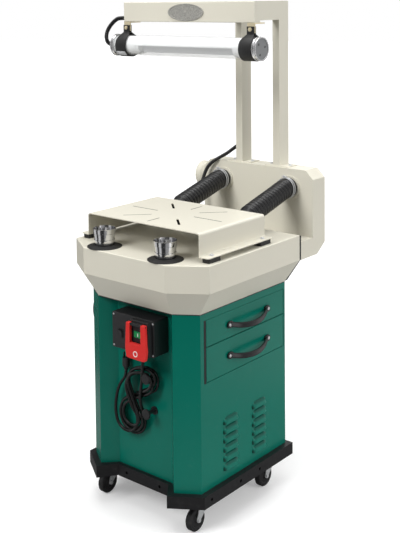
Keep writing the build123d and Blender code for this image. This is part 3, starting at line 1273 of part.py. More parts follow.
def rocker_switch():
    """Rocker with two sloping faces, on a pivot behind the cover."""
    half = ROCKER_H / 2
    profile = Polygon((-5.5, -half), (-4.0, 0), (-5.5, half), (3.0, half * 0.86), (6.0, 0), (3.0, -half * 0.86),
                      align=None)
    body = extrude(Plane.YZ.offset(-ROCKER_W / 2) * profile, amount=ROCKER_W, dir=(1, 0, 0))
    body = Pos(0, -ROCKER_AXLE_IN, 0) * body - rod_x(-ROCKER_W, ROCKER_W, 0, 0, ROCKER_AXLE_R + RUN)
    return Pos(ROCKER_X, COVER_Y + ROCKER_AXLE_IN, ROCKER_Z) * Rot(ROCKER_TILT, 0, 0) * body


# ---- cord and cables -------------------------------------------------------------------------
def cord_hooks():
    """Two headed pegs on the recessed panel."""
    pegs = []
    for z in HOOK_Z:
        y0 = CAB_NOTCH_Y
        peg = rod_y(HOOK_X, y0 - HOOK_OUT, y0, z, HOOK_R)
        base = rod_y(HOOK_X, y0 - 4.0, y0, z, HOOK_HEAD_R - 3.0)
        head = rod_y(HOOK_X, y0 - HOOK_OUT - HOOK_HEAD_T, y0 - HOOK_OUT, z, HOOK_HEAD_R)
        head = fillet(head.faces().sort_by(Axis.Y)[0].edges(), 2.5)
        pegs.append(peg + base + head)
    return group(pegs)


def hank_middle_y():
    """Middle plane of the wound cord, in front of the recessed panel."""
    return CAB_NOTCH_Y - HANK_OFF - HANK_T / 2


def cord_hank():
    """Outer form of the wound cord, hung over the upper peg."""
    ends = [HANK_LOW, HANK_HIGH_LEFT, HANK_HIGH_RIGHT]
    discs = [Pos(x, z) * Circle(r) for x, z, r in ends]
    form = make_hull(discs[0].edges() + discs[1].edges()) + make_hull(discs[1].edges() + discs[2].edges())
    body = extrude(Plane.XZ.offset(-(CAB_NOTCH_Y - HANK_OFF)) * form, amount=HANK_T, dir=(0, -1, 0))
    for z in HOOK_Z:
        body -= rod_y(HOOK_X, CAB_NOTCH_Y - HOOK_OUT - 20, CAB_NOTCH_Y, z, HOOK_R + TOUCH)
        body -= rod_y(HOOK_X, CAB_NOTCH_Y - 4.5, CAB_NOTCH_Y, z, HOOK_HEAD_R - 3.0 + TOUCH)
    return body


def hank_top(x, end):
    """Height of the hank's outline above one of its round ends."""
    return end[1] + sqrt(end[2] ** 2 - (x - end[0]) ** 2)


def gland_end():
    """Lowest point of the gland, where the cord comes out."""
    return CONTROL_Z0 - GLAND_L


def power_cord():
    """Short runs of the cord: gland to hank, and hank to plug."""
    y = hank_middle_y()
    top = hank_top(GLAND_X, HANK_HIGH_RIGHT)
    points = [(GLAND_X, GLAND_Y, gland_end()), (GLAND_X, GLAND_Y, gland_end() - 18.0), (GLAND_X, y, top + 14.0),
              (GLAND_X, y, top - 1.0)]
    radii = corner_radii(points)
    path = FilletPolyline(*points, radius=radii)
    run = sweep(Plane(origin=path @ 0, z_dir=path % 0) * Circle(CORD_R), path=path)
    print("power_cord radii", [round(r, 1) for r in radii], "length", round(path.length, 1),
          "volume ratio", round(run.volume / (pi * CORD_R ** 2 * path.length), 4))
    tail_top = PLUG_Z0 - 12.0
    tail = rod_z(PLUG_X, y, hank_top(PLUG_X, HANK_HIGH_LEFT) - 1.0, tail_top, CORD_R)
    return group([run - cord_hank(), tail - cord_hank()])


def corner_radii(points):
    """Largest fitting arc at each corner: 0.45 of the shorter run over the tangent of half the turn."""
    radii = []
    for a, b, c in zip(points, points[1:], points[2:]):
        one = Vector(*b) - Vector(*a)
        two = Vector(*c) - Vector(*b)
        half_turn = radians(one.get_angle(two)) / 2
        radii.append(0.45 * min(one.length, two.length) / tan(half_turn))
    return radii


def power_plug():
    """Three-pin plug hanging prongs up beside the hank, with its ribbed strain relief."""
    y = hank_middle_y()
    body = Pos(PLUG_X, y, PLUG_Z0 + PLUG_L / 2) * Box(25.0, 19.0, PLUG_L)
    body = fillet(body.edges().filter_by(Axis.Z), 8)
    body = chamfer(body.faces().sort_by(Axis.Z)[0].edges(), 4)
    relief = Pos(PLUG_X, y, PLUG_Z0 - 6.0) * Rot(180, 0, 0) * Cone(8.0, 5.6, 12.0)
    body += relief
    top = PLUG_Z0 + PLUG_L
    for dx in (-6.4, 6.4):
        body += block(PLUG_X + dx - 0.8, PLUG_X + dx + 0.8, y - 5.5, y + 1.5, top - 1, top + PRONG_L - 2)
    body += rod_z(PLUG_X, y + 5.5, top - 1, top + PRONG_L, 2.4)
    return body


def cable_glands():
    """Glands: power cord under the control box, lamp cable in the beam's end, lower cable at both ends."""
    glands = []
    gland = Cylinder(11.0, 7.0, align=(Align.CENTER, Align.CENTER, Align.MAX))
    body = Cylinder(8.5, GLAND_L, align=(Align.CENTER, Align.CENTER, Align.MAX))
    glands.append(Pos(GLAND_X, GLAND_Y, CONTROL_Z0) * (gland + body))
    glands.append(rod_x(-BEAM_HALF_X - GLAND_COLLAR_L, -BEAM_HALF_X, cable_entry_y(), beam_entry_z(), CABLE_R + 3.0))
    px, py, pz = lower_cable_points()[0]
    glands.append(rod_x(px, -POST_X - POST_W / 2, py, pz, LOWER_CABLE_R + 3.0))
    end = lower_cable_points()[-1]
    glands.append(rod_z(end[0], end[1], BOX_SHELF, end[2], LOWER_CABLE_R + 3.5))
    return group(glands)


def beam_entry_z():
    """Height at which the lamp cable enters the beam's left end."""
    return BEAM_UNDER + CABLE_R + 6.0


def cable_entry_y():
    """Middle of the beam's depth, where the lamp cable enters its left end."""
    return BEAM_FRONT + POST_W / 2


def lamp_cable_points():
    """Lamp cable: out of the left cap, round to the left and up into the beam's end."""
    x = LAMP_X0 - CAP_NOSE
    y = LAMP_Y
    z = LAMP_Z
    z_in = beam_entry_z()
    return [
        (x, y, z), (x - 16.0, y, z), (x - 38.0, y + 1.0, z + 10.0), (x - 43.0, y + 3.0, z + 38.0),
        (x - 27.0, y + 6.0, z + 68.0), (x + 2.0, cable_entry_y(), z_in - 3.0),
        (x + 25.0, cable_entry_y(), z_in), (-BEAM_HALF_X - GLAND_COLLAR_L, cable_entry_y(), z_in),
    ]


def lower_cable_points():
    """Lower cable: out of the left post's side, in an arc down to a gland on the dust box's shelf."""
    x = -POST_X - POST_W / 2 - GLAND_COLLAR_L
    y = POST_FRONT + 12.0
    return [
        (x, y, BOX_TOP + 56.0), (x - 30.0, y, BOX_TOP + 56.0), (x - 76.0, y - 7.0, BOX_TOP + 38.0),
        (x - 118.0, y - 26.0, BOX_TOP + 2.0), (x - 140.0, y - 60.0, BOX_TOP - 46.0),
        (x - 138.0, y - 92.0, BOX_TOP - 104.0), (x - 127.0, y - 102.0, BOX_TOP - 164.0),
        (x - 126.0, y - 100.0, BOX_SHELF + 30.0), (x - 126.0, y - 100.0, BOX_SHELF + 14.0),
    ]


def cable(points, r, name):
    """Round cable along straight runs joined by tangent arcs."""
    radii = corner_radii(points)
    path = FilletPolyline(*points, radius=radii)
    body = sweep(Plane(origin=path @ 0, z_dir=path % 0) * Circle(r), path=path)
    print(name, "radii", [round(v, 1) for v in radii], "length", round(path.length, 1),
          "volume ratio", round(body.volume / (pi * r * r * path.length), 4))
    return body


def lamp_cables():
    """Both captive cables."""
    return group([
        cable(lamp_cable_points(), CABLE_R, "lamp_cable"),
        cable(lower_cable_points(), LOWER_CABLE_R, "lower_cable"),
    ])


# ---- assembly --------------------------------------------------------------------------------
def build():
    """Every node by name."""
    ring = cabinet_ring()
    nodes = {
        "dolly_base": dolly_base(),
        "caster_plates": group([caster_plate(x, y) for x, y in SWIVEL]),
        "cabinet_front_panel": cabinet_front_panel(ring),
        "cabinet_right_side": cabinet_right_side(ring),
        "cabinet_left_side": cabinet_left_side(ring),
        "cabinet_back_panel": cabinet_back_panel(ring),
        "drawer_runners": drawer_runners(),
        "upper_drawer": drawer(UPPER_DRAWER_Z),
        "lower_drawer": drawer(LOWER_DRAWER_Z),
        "upper_drawer_handle": drawer_handle(UPPER_DRAWER_Z),
        "lower_drawer_handle": drawer_handle(LOWER_DRAWER_Z),
        "access_door": access_door(),
        "door_handle": door_handle(),
        "head_housing": head_housing(),
        "head_gaskets": head_gaskets(),
        "left_drum": drum(-DRUM_X),
        "right_drum": drum(DRUM_X),
        "left_spindle": spindle(-DRUM_X),
        "right_spindle": spindle(DRUM_X),
        "dust_skirts": dust_skirts(),
        "spindle_housings": spindle_housings(),
        "spindle_bearings": spindle_bearings(),
        "drive_belt": drive_belt(),
        "motor_plate": motor_plate(),
        "motor_body": motor_body(),
        "motor_rotor": motor_rotor(),
        "work_table": work_table(),
        "table_feet": table_feet(),
        "fixing_screws": fixing_screws(),
        "dust_hoses": dust_hoses(),
        "hose_clamps": hose_clamps(),
        "dust_box": dust_box(),
        "dust_outlet": dust_outlet(),
        "lamp_posts": lamp_posts(),
        "lamp_beam": lamp_beam(),
        "lamp_brackets": lamp_brackets(),
        "lamp_straps": lamp_straps(),
        "lamp_glass": lamp_glass(),
        "lamp_end_caps": lamp_end_caps(),
        "lamp_light_unit": lamp_light_unit(),
        "control_box": control_box(),
        "switch_housing": switch_housing(),
        "stop_paddle": stop_paddle(),
        "on_button": on_button(),
        "stop_button": stop_button(),
        "rocker_switch": rocker_switch(),
        "cord_hooks": cord_hooks(),
        "cord_hank": cord_hank(),
        "power_cord": power_cord(),
        "power_plug": power_plug(),
        "cable_glands": cable_glands(),
        "lamp_cables": lamp_cables(),
    }
    for name, (x, y) in zip(SWIVEL_NAMES, SWIVEL):
        nodes["caster_fork_" + name] = caster_fork(x, y)
        nodes["caster_wheel_" + name] = caster_wheel(x, y)
    return nodes


def middle_of(nodes):
    """Point on the floor under the middle of the machine's box, the free cord left out."""
    boxes = [shape.bounding_box() for node, shape in nodes.items() if node not in CORD_NODES]
    x = (min(box.min.X for box in boxes) + max(box.max.X for box in boxes)) / 2
    y = (min(box.min.Y for box in boxes) + max(box.max.Y for box in boxes)) / 2
    return x, y


machine = build()
middle_x, middle_y = middle_of(machine)
print("origin at", round(middle_x, 4), round(middle_y, 4), "from the cabinet's middle")
for node, shape in machine.items():
    export_step(Pos(-middle_x, -middle_y, 0) * shape, "parts/" + node + ".step")
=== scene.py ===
import bmesh
import bpy
import json
import numpy as np
from math import atan, cos, pi, radians, sin
from mathutils import Euler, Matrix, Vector


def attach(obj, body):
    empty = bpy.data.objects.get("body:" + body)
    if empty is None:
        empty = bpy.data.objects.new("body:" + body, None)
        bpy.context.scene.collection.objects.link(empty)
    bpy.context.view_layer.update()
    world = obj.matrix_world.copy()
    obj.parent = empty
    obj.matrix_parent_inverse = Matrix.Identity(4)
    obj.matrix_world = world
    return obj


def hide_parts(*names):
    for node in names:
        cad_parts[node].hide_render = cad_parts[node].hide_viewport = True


# Twin-drum sander: camera, cord, finishes and the pieces that need a finer surface than the solids have.
#
# Sizes are in millimetres from a point on the floor under the middle of the cabinet, as the solids were
# laid out; metres() moves them into the shared frame.

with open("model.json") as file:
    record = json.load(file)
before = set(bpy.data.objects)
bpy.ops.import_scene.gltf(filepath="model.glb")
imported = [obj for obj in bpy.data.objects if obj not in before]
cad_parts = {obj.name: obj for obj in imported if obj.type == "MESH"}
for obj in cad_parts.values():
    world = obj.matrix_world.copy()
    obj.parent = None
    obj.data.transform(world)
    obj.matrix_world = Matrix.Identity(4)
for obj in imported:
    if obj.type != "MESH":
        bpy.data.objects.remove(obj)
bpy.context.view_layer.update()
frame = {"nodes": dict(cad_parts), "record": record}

# ---- sizes shared with the solids -------------------------------------------------------------
ORIGIN = np.array([-37.4132, 97.75, 0.0])
MM = 0.001
HOSE_X, HOSE_Z, HOSE_R, HOSE_WALL = 155.0, 1030.0, 36.5, 4.5
HOSE_CORNERS = ((0, 418.7, HOSE_Z), (0, 390.0, HOSE_Z), (0, 138.0, 962.0), (0, 138.0, 905.3))
HOSE_RADII = (90.0, 50.0)
BEAM_FRONT = 18.0
LAMP_Y, LAMP_Z = 20.0, 1565.0
LAMP_X0, LAMP_X1 = -333.0, 322.0
CAP_NOSE = 16.0
STRAP_X, STRAP_W = (-279.0, 279.0), 50.0
CABLE_R, LOWER_CABLE_R = 7.6, 7.2
CORD_R = 5.2
TABLE_Y, SLOT_START, SLOT_WIDTH = -47.0, 82.0, 4.0
PALE_SLOTS = ((0, 120.0), (45, 98.0), (90, 62.0))    # angle and length of each pair whose pale insides show, coloured with painted shade
SIDE_X = 241.0
HANDLE_Y, HANDLE_HALF, HANDLE_OUT, HANDLE_DROP = 44.0, 101.0, 27.0, 14.0
LOUVRE_Y, LOUVRE_HALF = (-57.0, 102.0), 40.5
LOUVRE_LOW, LOUVRE_PITCH, LOUVRE_ROWS = 172.0, 31.0, 6
MARK_X, STOP_MARK_Z, START_MARK_Z = 58.0, 590.0, 649.0
PADDLE_FACE, BUTTON_FACE = -319.05, -306.45
FACE_R, DIMPLE_OFF = 35.0, 21.0                      # the lamp caps' sunk face, and how far out its dimples are
DIMPLE_R, DIMPLE_WALL, DIMPLE_DEEP = 3.2, 1.6, 2.2
DIMPLES = [(DIMPLE_OFF * cos(radians(turn)), DIMPLE_OFF * sin(radians(turn))) for turn in (15, 135, 250)]


def metres(points):
    """Millimetres from the cabinet's middle to metres in the shared frame."""
    return (np.asarray(points, float) - ORIGIN) * MM


# ---- camera -----------------------------------------------------------------------------------
CAMERA_AT = (2159.89, -2532.25, 1726.30)
YAW, PITCH, ROLL = 39.86, 4.0, 0.57
LENS = 65.40
SHIFT = (0.0144, -0.3731)

camera = bpy.data.objects.new("camera", bpy.data.cameras.new("camera"))
bpy.context.scene.collection.objects.link(camera)
camera.location = metres(CAMERA_AT)
camera.rotation_euler = Euler((radians(90 - PITCH), radians(ROLL), radians(YAW)), "XYZ")
camera.data.lens = LENS
camera.data.shift_x, camera.data.shift_y = SHIFT
camera.data.clip_end = 60.0
bpy.context.scene.camera = camera


# ---- finishes ---------------------------------------------------------------------------------
class Sum:
    """A number that varies over a surface. Arithmetic on it adds Math nodes to the finish."""

    def __init__(self, finish, socket):
        self.finish, self.socket = finish, socket

    def with_(self, operation, *others):
        return self.finish.node("ShaderNodeMath", {"operation": operation}, dict(enumerate(others)))

    def __add__(self, other):
        return self.with_("ADD", self, other)

    def __radd__(self, other):
        return self.with_("ADD", other, self)

    def __sub__(self, other):
        return self.with_("SUBTRACT", self, other)

    def __rsub__(self, other):
        return self.with_("SUBTRACT", other, self)

    def __mul__(self, other):
        return self.with_("MULTIPLY", self, other)

    def __rmul__(self, other):
        return self.with_("MULTIPLY", other, self)

    def __truediv__(self, other):
        return self.with_("DIVIDE", self, other)

    def __pow__(self, other):
        return self.with_("POWER", self, other)

    def __abs__(self):
        return self.with_("ABSOLUTE", self)

    def wave(self):
        """Sine of the number."""
        return self.with_("SINE", self)

    def root(self):
        """Square root of the number."""
        return self.with_("SQRT", self)

    def part(self):
        """What is left of the number past its whole part."""
        return self.with_("FRACT", self)

    def most(self, other):
        """The larger of two numbers."""
        return self.with_("MAXIMUM", self, other)

    def step(self, low, high):
        """Smooth rise from 0 at low to 1 at high."""
        settings = {"interpolation_type": "SMOOTHSTEP"}
        return self.finish.node("ShaderNodeMapRange", settings, {"Value": self, "From Min": low, "From Max": high})


MIX_ONE, MIX_TWO, MIX_RESULT = 6, 7, 2    # the colour sockets among all those of a Mix node


class Finish:
    """A material written as expressions over the piece's own coordinates, in metres."""

    def __init__(self, name, **sockets):
        self.material = bpy.data.materials.new(name)
        self.material.use_nodes = True
        self.tree = self.material.node_tree
        self.surface = self.tree.nodes["Principled BSDF"]
        self.set(**sockets)

    def node(self, kind, settings, values, output=0):
        """Adds one node: its settings first, then each socket's value or link."""
        made = self.tree.nodes.new(kind)
        for name, value in settings.items():
            if name == "stops":
                while len(made.color_ramp.elements) < len(value):
                    made.color_ramp.elements.new(1.0)
                for element, (place, colour) in zip(made.color_ramp.elements, value):
                    element.position, element.color = place, (*colour, 1.0)
            else:
                setattr(made, name, value)
        for name, value in values.items():
            if isinstance(value, Sum):
                self.tree.links.new(value.socket, made.inputs[name])
            else:
                made.inputs[name].default_value = value
        return Sum(self, made.outputs[output])

    def at(self):
        """Object coordinates."""
        return self.node("ShaderNodeTexCoord", {}, {}, "Object")

    def axes(self):
        """The x, y and z of the surface, in metres."""
        where = self.at()
        return [self.node("ShaderNodeSeparateXYZ", {}, {"Vector": where}, axis) for axis in "XYZ"]

    def noise(self, scale, detail, rough=0.5, where=None):
        """Fractal noise from 0 to 1, about scale features to a metre."""
        values = {"Vector": where or self.at(), "Scale": scale, "Detail": detail, "Roughness": rough}
        return self.node("ShaderNodeTexNoise", {}, values, "Fac")

    def cells(self, scale):
        """Distance to the nearest of many scattered points."""
        return self.node("ShaderNodeTexVoronoi", {}, {"Vector": self.at(), "Scale": scale}, "Distance")

    def stretched(self, sizes):
        """Object coordinates scaled along each axis."""
        return self.node("ShaderNodeMapping", {}, {"Vector": self.at(), "Scale": sizes})

    def blend(self, share, one, two):
        """Colour one where share is 0 and two where it is 1."""
        one, two = [end if isinstance(end, Sum) else (*end, 1.0) for end in (one, two)]
        values = {"Factor": share, MIX_ONE: one, MIX_TWO: two}
        return self.node("ShaderNodeMix", {"data_type": "RGBA"}, values, MIX_RESULT)

    def ray(self, kind):
        """1 where what looks at the surface is that kind of ray, and 0 elsewhere."""
        return self.node("ShaderNodeLightPath", {}, {}, kind)

    def bump(self, height, strength, distance):
        """Raises the surface by height, up to a distance in metres."""
        return self.node("ShaderNodeBump", {}, {"Height": height, "Strength": strength, "Distance": distance})

    def set(self, **sockets):
        """Sets or links the surface's sockets; an underscore stands for a space."""
        for name, value in sockets.items():
            socket = self.surface.inputs[name.replace("_", " ")]
            if isinstance(value, Sum):
                self.tree.links.new(value.socket, socket)
            elif isinstance(value, tuple) and len(value) == 3:
                socket.default_value = (*value, 1.0)
            else:
                socket.default_value = value
        return self


def shade(colour, factor):
    """A colour made lighter or darker."""
    return tuple(min(1.0, part * factor) for part in colour)


GREEN = (0.0012, 0.132, 0.094)
CREAM = (0.63, 0.605, 0.515)
DUST = (0.42, 0.40, 0.36)
PEEL_SCALE, PEEL_DEEP = 620.0, 0.0006    # orange peel's dimples to a metre, and how deep they are


def coated_sheet(name, colour, rough, peel, mottle, grime, shine=0.5):
    """Powder coat: orange-peel bump, faint cloudiness, and patches of dust."""
    f = Finish(name)
    cloud = f.noise(5.0, 4.0)
    grain = f.noise(PEEL_SCALE, 2.0)
    dust = f.noise(38.0, 5.0, 0.65).step(0.55, 0.85) * grime
    base = f.blend(cloud, shade(colour, 1.0 - mottle), shade(colour, 1.0 + mottle))
    f.set(Base_Color=f.blend(dust, base, DUST), Roughness=rough + (grain - 0.5) * 0.10 + dust * 0.5,
          Specular_IOR_Level=shine)
    return f.set(Normal=f.bump(grain + cloud * 0.4, peel, PEEL_DEEP)).material


def clean_coat(f, base, rough, peel, shine):
    """Powder coat's gloss and orange peel on a finish whose colour is given."""
    grain = f.noise(PEEL_SCALE, 2.0)
    f.set(Base_Color=base, Roughness=rough + (grain - 0.5) * 0.1, Specular_IOR_Level=shine)
    return f.set(Normal=f.bump(grain, peel, PEEL_DEEP)).material


def turned_metal(name, colour, rough, lines=2600.0, stain=0.25, tint=(0.5, 0.5, 0.5)):
    """Machined or rolled metal: fine level lines, with soft stains in colour and gloss."""
    f = Finish(name, Metallic=1.0)
    lined = f.noise(1.0, 3.0, 0.6, f.stretched((9.0, 9.0, lines)))
    blot = f.noise(26.0, 5.0, 0.6)
    base = f.blend(blot.step(0.45, 0.8) * stain, colour, tint)
    f.set(Base_Color=base, Roughness=rough + (lined - 0.5) * 0.16 + blot * 0.08)
    return f.set(Normal=f.bump(lined, 0.12, 0.0002)).material


def cast_metal(name, colour, rough, metallic):
    """Rough casting: pitted skin and cloudy colour."""
    f = Finish(name, Metallic=metallic)
    pits, cloud = f.cells(420.0), f.noise(30.0, 5.0)
    base = f.blend(cloud, shade(colour, 0.75), shade(colour, 1.2))
    f.set(Base_Color=base, Roughness=rough + cloud * 0.15)
    return f.set(Normal=f.bump(pits + cloud, 0.35, 0.0008)).material


def plated(name, colour, rough):
    """Bright zinc: tiny crystal flakes and faint finger smudges."""
    f = Finish(name, Metallic=0.6)
    spangle, smudge = f.cells(900.0), f.noise(40.0, 4.0)
    base = f.blend(spangle, shade(colour, 0.82), shade(colour, 1.1))
    f.set(Base_Color=base, Roughness=rough + smudge * 0.14 + spangle * 0.06)
    return f.set(Normal=f.bump(spangle, 0.08, 0.0003)).material


def moulded(name, colour, rough, grain=1400.0, depth=0.16, wear=0.12, light=None):
    """Moulded plastic or rubber: fine tooled grain, with paler rubbed patches."""
    f = Finish(name)
    skin, rub = f.noise(grain, 2.0), f.noise(22.0, 5.0, 0.6)
    rubbed = rub.step(0.5, 0.85) * wear
    base = f.blend(rubbed, colour, light or tuple(min(1.0, part * 2.2 + 0.02) for part in colour))
    f.set(Base_Color=base, Roughness=rough + (skin - 0.5) * 0.12 - rubbed * 0.25)
    return f.set(Normal=f.bump(skin, depth, 0.0004)).material


def clear_tube():
    """Polycarbonate tube: a thin clear film with a faint haze and hairline scuffs along it."""
    f = Finish("clear_tube", Base_Color=(0.93, 0.94, 0.94), IOR=1.5)
    scuff = f.noise(1.0, 3.0, 0.6, f.stretched((6.0, 900.0, 900.0))).step(0.6, 0.9)
    return f.set(Alpha=0.20 + scuff * 0.12, Roughness=0.05 + scuff * 0.2).material


def light_unit():
    """Pale grey strip with a thin darker line across it every 17 mm."""
    f = Finish("light_unit")
    x, _, _ = f.axes()
    grain = f.noise(900.0, 2.0)
    lines = (x * 380.0).wave().step(0.96, 1.0) * 0.5
    f.set(Base_Color=f.blend(lines, (0.56, 0.57, 0.58), (0.40, 0.41, 0.42)), Roughness=0.36 + grain * 0.1)
    return f.set(Normal=f.bump(grain, 0.05, 0.0003)).material


def slotted_sheet():
    """Cream powder coat with painted shade inside the slots, which are found from each one's angle, length and
    width.
    """
    f = Finish("table_cream")
    x, y, _ = f.axes()
    x0, y0, _ = metres((0.0, TABLE_Y, 0.0)).tolist()
    x, y = x - x0, y - y0
    half, start = SLOT_WIDTH / 2 * MM, SLOT_START * MM
    slot_shade = None
    for angle, length in [(turn + back, length) for turn, length in PALE_SLOTS for back in (0, 180)]:
        a, end = radians(angle), start + length * MM
        along, beside = x * cos(a) + y * sin(a), abs(y * cos(a) - x * sin(a))
        inside = (1.0 - beside.step(half, half + 0.6 * MM)) * along.step(start, start + MM)
        inside = inside * (1.0 - along.step(end - MM, end))
        slot_shade = inside if slot_shade is None else slot_shade.most(inside)
    # painted shade: the slots' insides coloured near black
    return clean_coat(f, f.blend(slot_shade, CREAM, (0.10, 0.10, 0.095)), 0.34, 0.10, 0.45)


def hood_paint():
    """Green coat on the louvres, with painted shade under each hood's upper edge and at its front end."""
    f = Finish("hood_green")
    _, y, z = f.axes()
    up = ((z - LOUVRE_LOW * MM) / (LOUVRE_PITCH * MM)).part()
    front = None
    for middle in LOUVRE_Y:
        past = y - float(metres((0.0, middle - LOUVRE_HALF + 0.5, 0.0))[1])    # from just inside the front end
        end = (1.0 - past.step(0.002, 0.014)) * past.step(-0.004, 0.0)
        front = end if front is None else front.most(end)
    # painted shade: darker green over the upper part of each hood and at its front end
    painted_shade = (up.step(0.30, 0.66) * 0.55).most(front * 0.85)
    return clean_coat(f, f.blend(painted_shade, GREEN, shade(GREEN, 0.22)), 0.3, 0.08, 0.3)


def cap_finish():
    """Polished rim round a sand-grey face with painted shade in its dimples, told apart by distance from the lamp's
    axis.
    """
    f = Finish("cap_metal", Metallic=1.0)
    _, y, z = f.axes()
    _, y0, z0 = metres((0.0, LAMP_Y, LAMP_Z)).tolist()

    def distance(across, up):
        """How far the surface is from a point given in millimetres off the axis."""
        return ((y - (y0 + across * MM)) ** 2.0 + (z - (z0 + up * MM)) ** 2.0).root()

    bright = distance(0.0, 0.0).step((FACE_R - 0.4) * MM, (FACE_R + 0.4) * MM)
    grain = f.noise(1.0, 3.0, 0.6, f.stretched((2400.0, 40.0, 40.0)))
    base = f.blend(bright, (0.24, 0.245, 0.25), (0.78, 0.78, 0.79))
    # painted shade: each dimple's hollow coloured near black
    for dimple in DIMPLES:
        sunk = 1.0 - distance(*dimple).step((DIMPLE_R - 0.2) * MM, (DIMPLE_R + DIMPLE_WALL) * MM)
        base = f.blend(sunk, base, (0.09, 0.09, 0.095))
    f.set(Base_Color=base, Metallic=0.3 + bright * 0.7, Roughness=0.55 - bright * 0.42 + grain * 0.1)
    return f.set(Normal=f.bump(f.noise(1500.0, 3.0), 0.08, 0.0003)).material


def tread():
    """Hard rubber wheel with floor dirt in patches."""
    f = Finish("caster_tread")
    skin, dirt = f.noise(900.0, 3.0), f.noise(60.0, 5.0).step(0.5, 0.8)
    base = f.blend(dirt * 0.35, (0.012, 0.012, 0.013), (0.07, 0.065, 0.06))
    f.set(Base_Color=base, Roughness=0.42 + skin * 0.2 + dirt * 0.15)
    return f.set(Normal=f.bump(skin, 0.2, 0.0005)).material


def pebbled_nickel():
    """Aged nickel of the badge: a pebbled field, darker in its hollows."""
    f = Finish("antique_nickel", Metallic=0.5)
    pebble, patina = f.cells(330.0), f.noise(60.0, 5.0)
    base = f.blend(pebble * 0.8 + patina * 0.4, (0.16, 0.155, 0.14), (0.55, 0.54, 0.50))
    return f.set(Base_Color=base, Roughness=0.34 + patina * 0.2, Normal=f.bump(pebble, 0.6, 0.0012)).material


finishes = {
    "green_paint": coated_sheet("green_paint", GREEN, 0.24, 0.08, 0.05, 0.02, shine=0.3),
    "cream_paint": coated_sheet("cream_paint", CREAM, 0.34, 0.10, 0.02, 0.03, shine=0.45),
    "black_paint": coated_sheet("black_paint", (0.008, 0.008, 0.009), 0.40, 0.22, 0.10, 0.04, shine=0.4),
    "zinc": plated("zinc", (0.66, 0.67, 0.68), 0.28),
    "yellow_zinc": plated("yellow_zinc", (0.86, 0.76, 0.52), 0.30),
    "bare_steel": turned_metal("bare_steel", (0.56, 0.56, 0.55), 0.28),
    "cast_iron": cast_metal("cast_iron", (0.16, 0.16, 0.165), 0.5, 0.9),
    "motor_paint": coated_sheet("motor_paint", (0.05, 0.055, 0.06), 0.5, 0.3, 0.1, 0.2),
    "chrome": turned_metal("chrome", (0.60, 0.60, 0.61), 0.11, 1800.0, 0.18, (0.30, 0.30, 0.31)),
    "black_plastic": moulded("black_plastic", (0.014, 0.014, 0.015), 0.42),
    "hose_plastic": moulded("hose_plastic", (0.006, 0.006, 0.0065), 0.30, 700.0, 0.12, 0.18),
    "black_rubber": moulded("black_rubber", (0.013, 0.013, 0.013), 0.56, 1100.0, 0.2, 0.2),
    "caster_tread": tread(),
    "clear_tube": clear_tube(),
    "table_cream": slotted_sheet(),
    "hood_green": hood_paint(),
    "light_unit": light_unit(),
    "cap_metal": cap_finish(),
    "antique_nickel": pebbled_nickel(),
    "cord_sheath": moulded("cord_sheath", (0.005, 0.005, 0.005), 0.24, 900.0, 0.05, 0.04, (0.02, 0.02, 0.02)),
    "handle_gloss": moulded("handle_gloss", (0.012, 0.012, 0.013), 0.20, 700.0, 0.05, 0.05, (0.03, 0.03, 0.03)),
    "white_plastic": moulded("white_plastic", (0.83, 0.84, 0.84), 0.34, 1400.0, 0.06, 0.05, (0.7, 0.7, 0.68)),
    "red_plastic": moulded("red_plastic", (0.60, 0.022, 0.020), 0.34, 1200.0, 0.14, 0.12, (0.68, 0.10, 0.08)),
    "on_green_plastic": moulded("on_green_plastic", (0.010, 0.20, 0.06), 0.3, 1200.0, 0.08, 0.05),
    "mark_white": moulded("mark_white", (0.82, 0.82, 0.80), 0.45, 1500.0, 0.05, 0.05, (0.7, 0.7, 0.68)),
}
slots = {row["node"]: row["material_slot"] for row in frame["record"]["subparts"]}
own_finish = {"work_table": "table_cream", "lamp_brackets": "yellow_zinc"}
for name, node in frame["nodes"].items():
    node.data.materials.clear()
    node.data.materials.append(finishes[own_finish.get(name, slots[name])])


# ---- surfaces ---------------------------------------------------------------------------------
def quads(rows, columns, wrap_rows=False):
    """Four-sided faces over a grid of points whose columns join round, and its rows too where they wrap."""
    r = np.arange(rows if wrap_rows else rows - 1)[:, None]
    c = np.arange(columns)[None, :]
    r2, c2 = (r + 1) % rows, (c + 1) % columns
    return np.stack([r * columns + c, r * columns + c2, r2 * columns + c2, r2 * columns + c], -1).reshape(-1, 4)


CREASE = radians(38)    # edges bent more than this stay sharp


def piece(name, points, faces, finish, rides="machine", replaces=(), slot=None):
    """One sealed mesh from points in millimetres, with its doubles merged and its faces turned outwards."""
    mesh = bpy.data.meshes.new(name)
    corners = metres(np.reshape(points, (-1, 3)))
    mesh.vertices.add(len(corners))
    mesh.vertices.foreach_set("co", corners.astype(np.float32).ravel())
    mesh.loops.add(faces.size)
    mesh.loops.foreach_set("vertex_index", faces.astype(np.int32).ravel())
    mesh.polygons.add(len(faces))
    mesh.polygons.foreach_set("loop_start", np.arange(0, faces.size, faces.shape[1], dtype=np.int32))
    mesh.update(calc_edges=True)
    work = bmesh.new()
    work.from_mesh(mesh)
    bmesh.ops.remove_doubles(work, verts=work.verts, dist=2e-6)
    bmesh.ops.dissolve_degenerate(work, edges=work.edges, dist=1e-7)
    bmesh.ops.recalc_face_normals(work, faces=work.faces)
    work.to_mesh(mesh)
    work.free()
    mesh.shade_smooth()
    mesh.set_sharp_from_angle(angle=CREASE)
    made = bpy.data.objects.new(name, mesh)
    bpy.context.scene.collection.objects.link(made)
    mesh.materials.append(finishes[finish])
    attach(made, rides)
    if replaces:
        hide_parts(*replaces)


def join(*parts):
    """Several (points, faces) pairs as one."""
    points, faces, count = [], [], 0
    for these, theirs in parts:
        these = np.reshape(these, (-1, 3))
        points.append(these)
        faces.append(theirs + count)
        count += len(these)
    return np.concatenate(points), np.concatenate(faces)


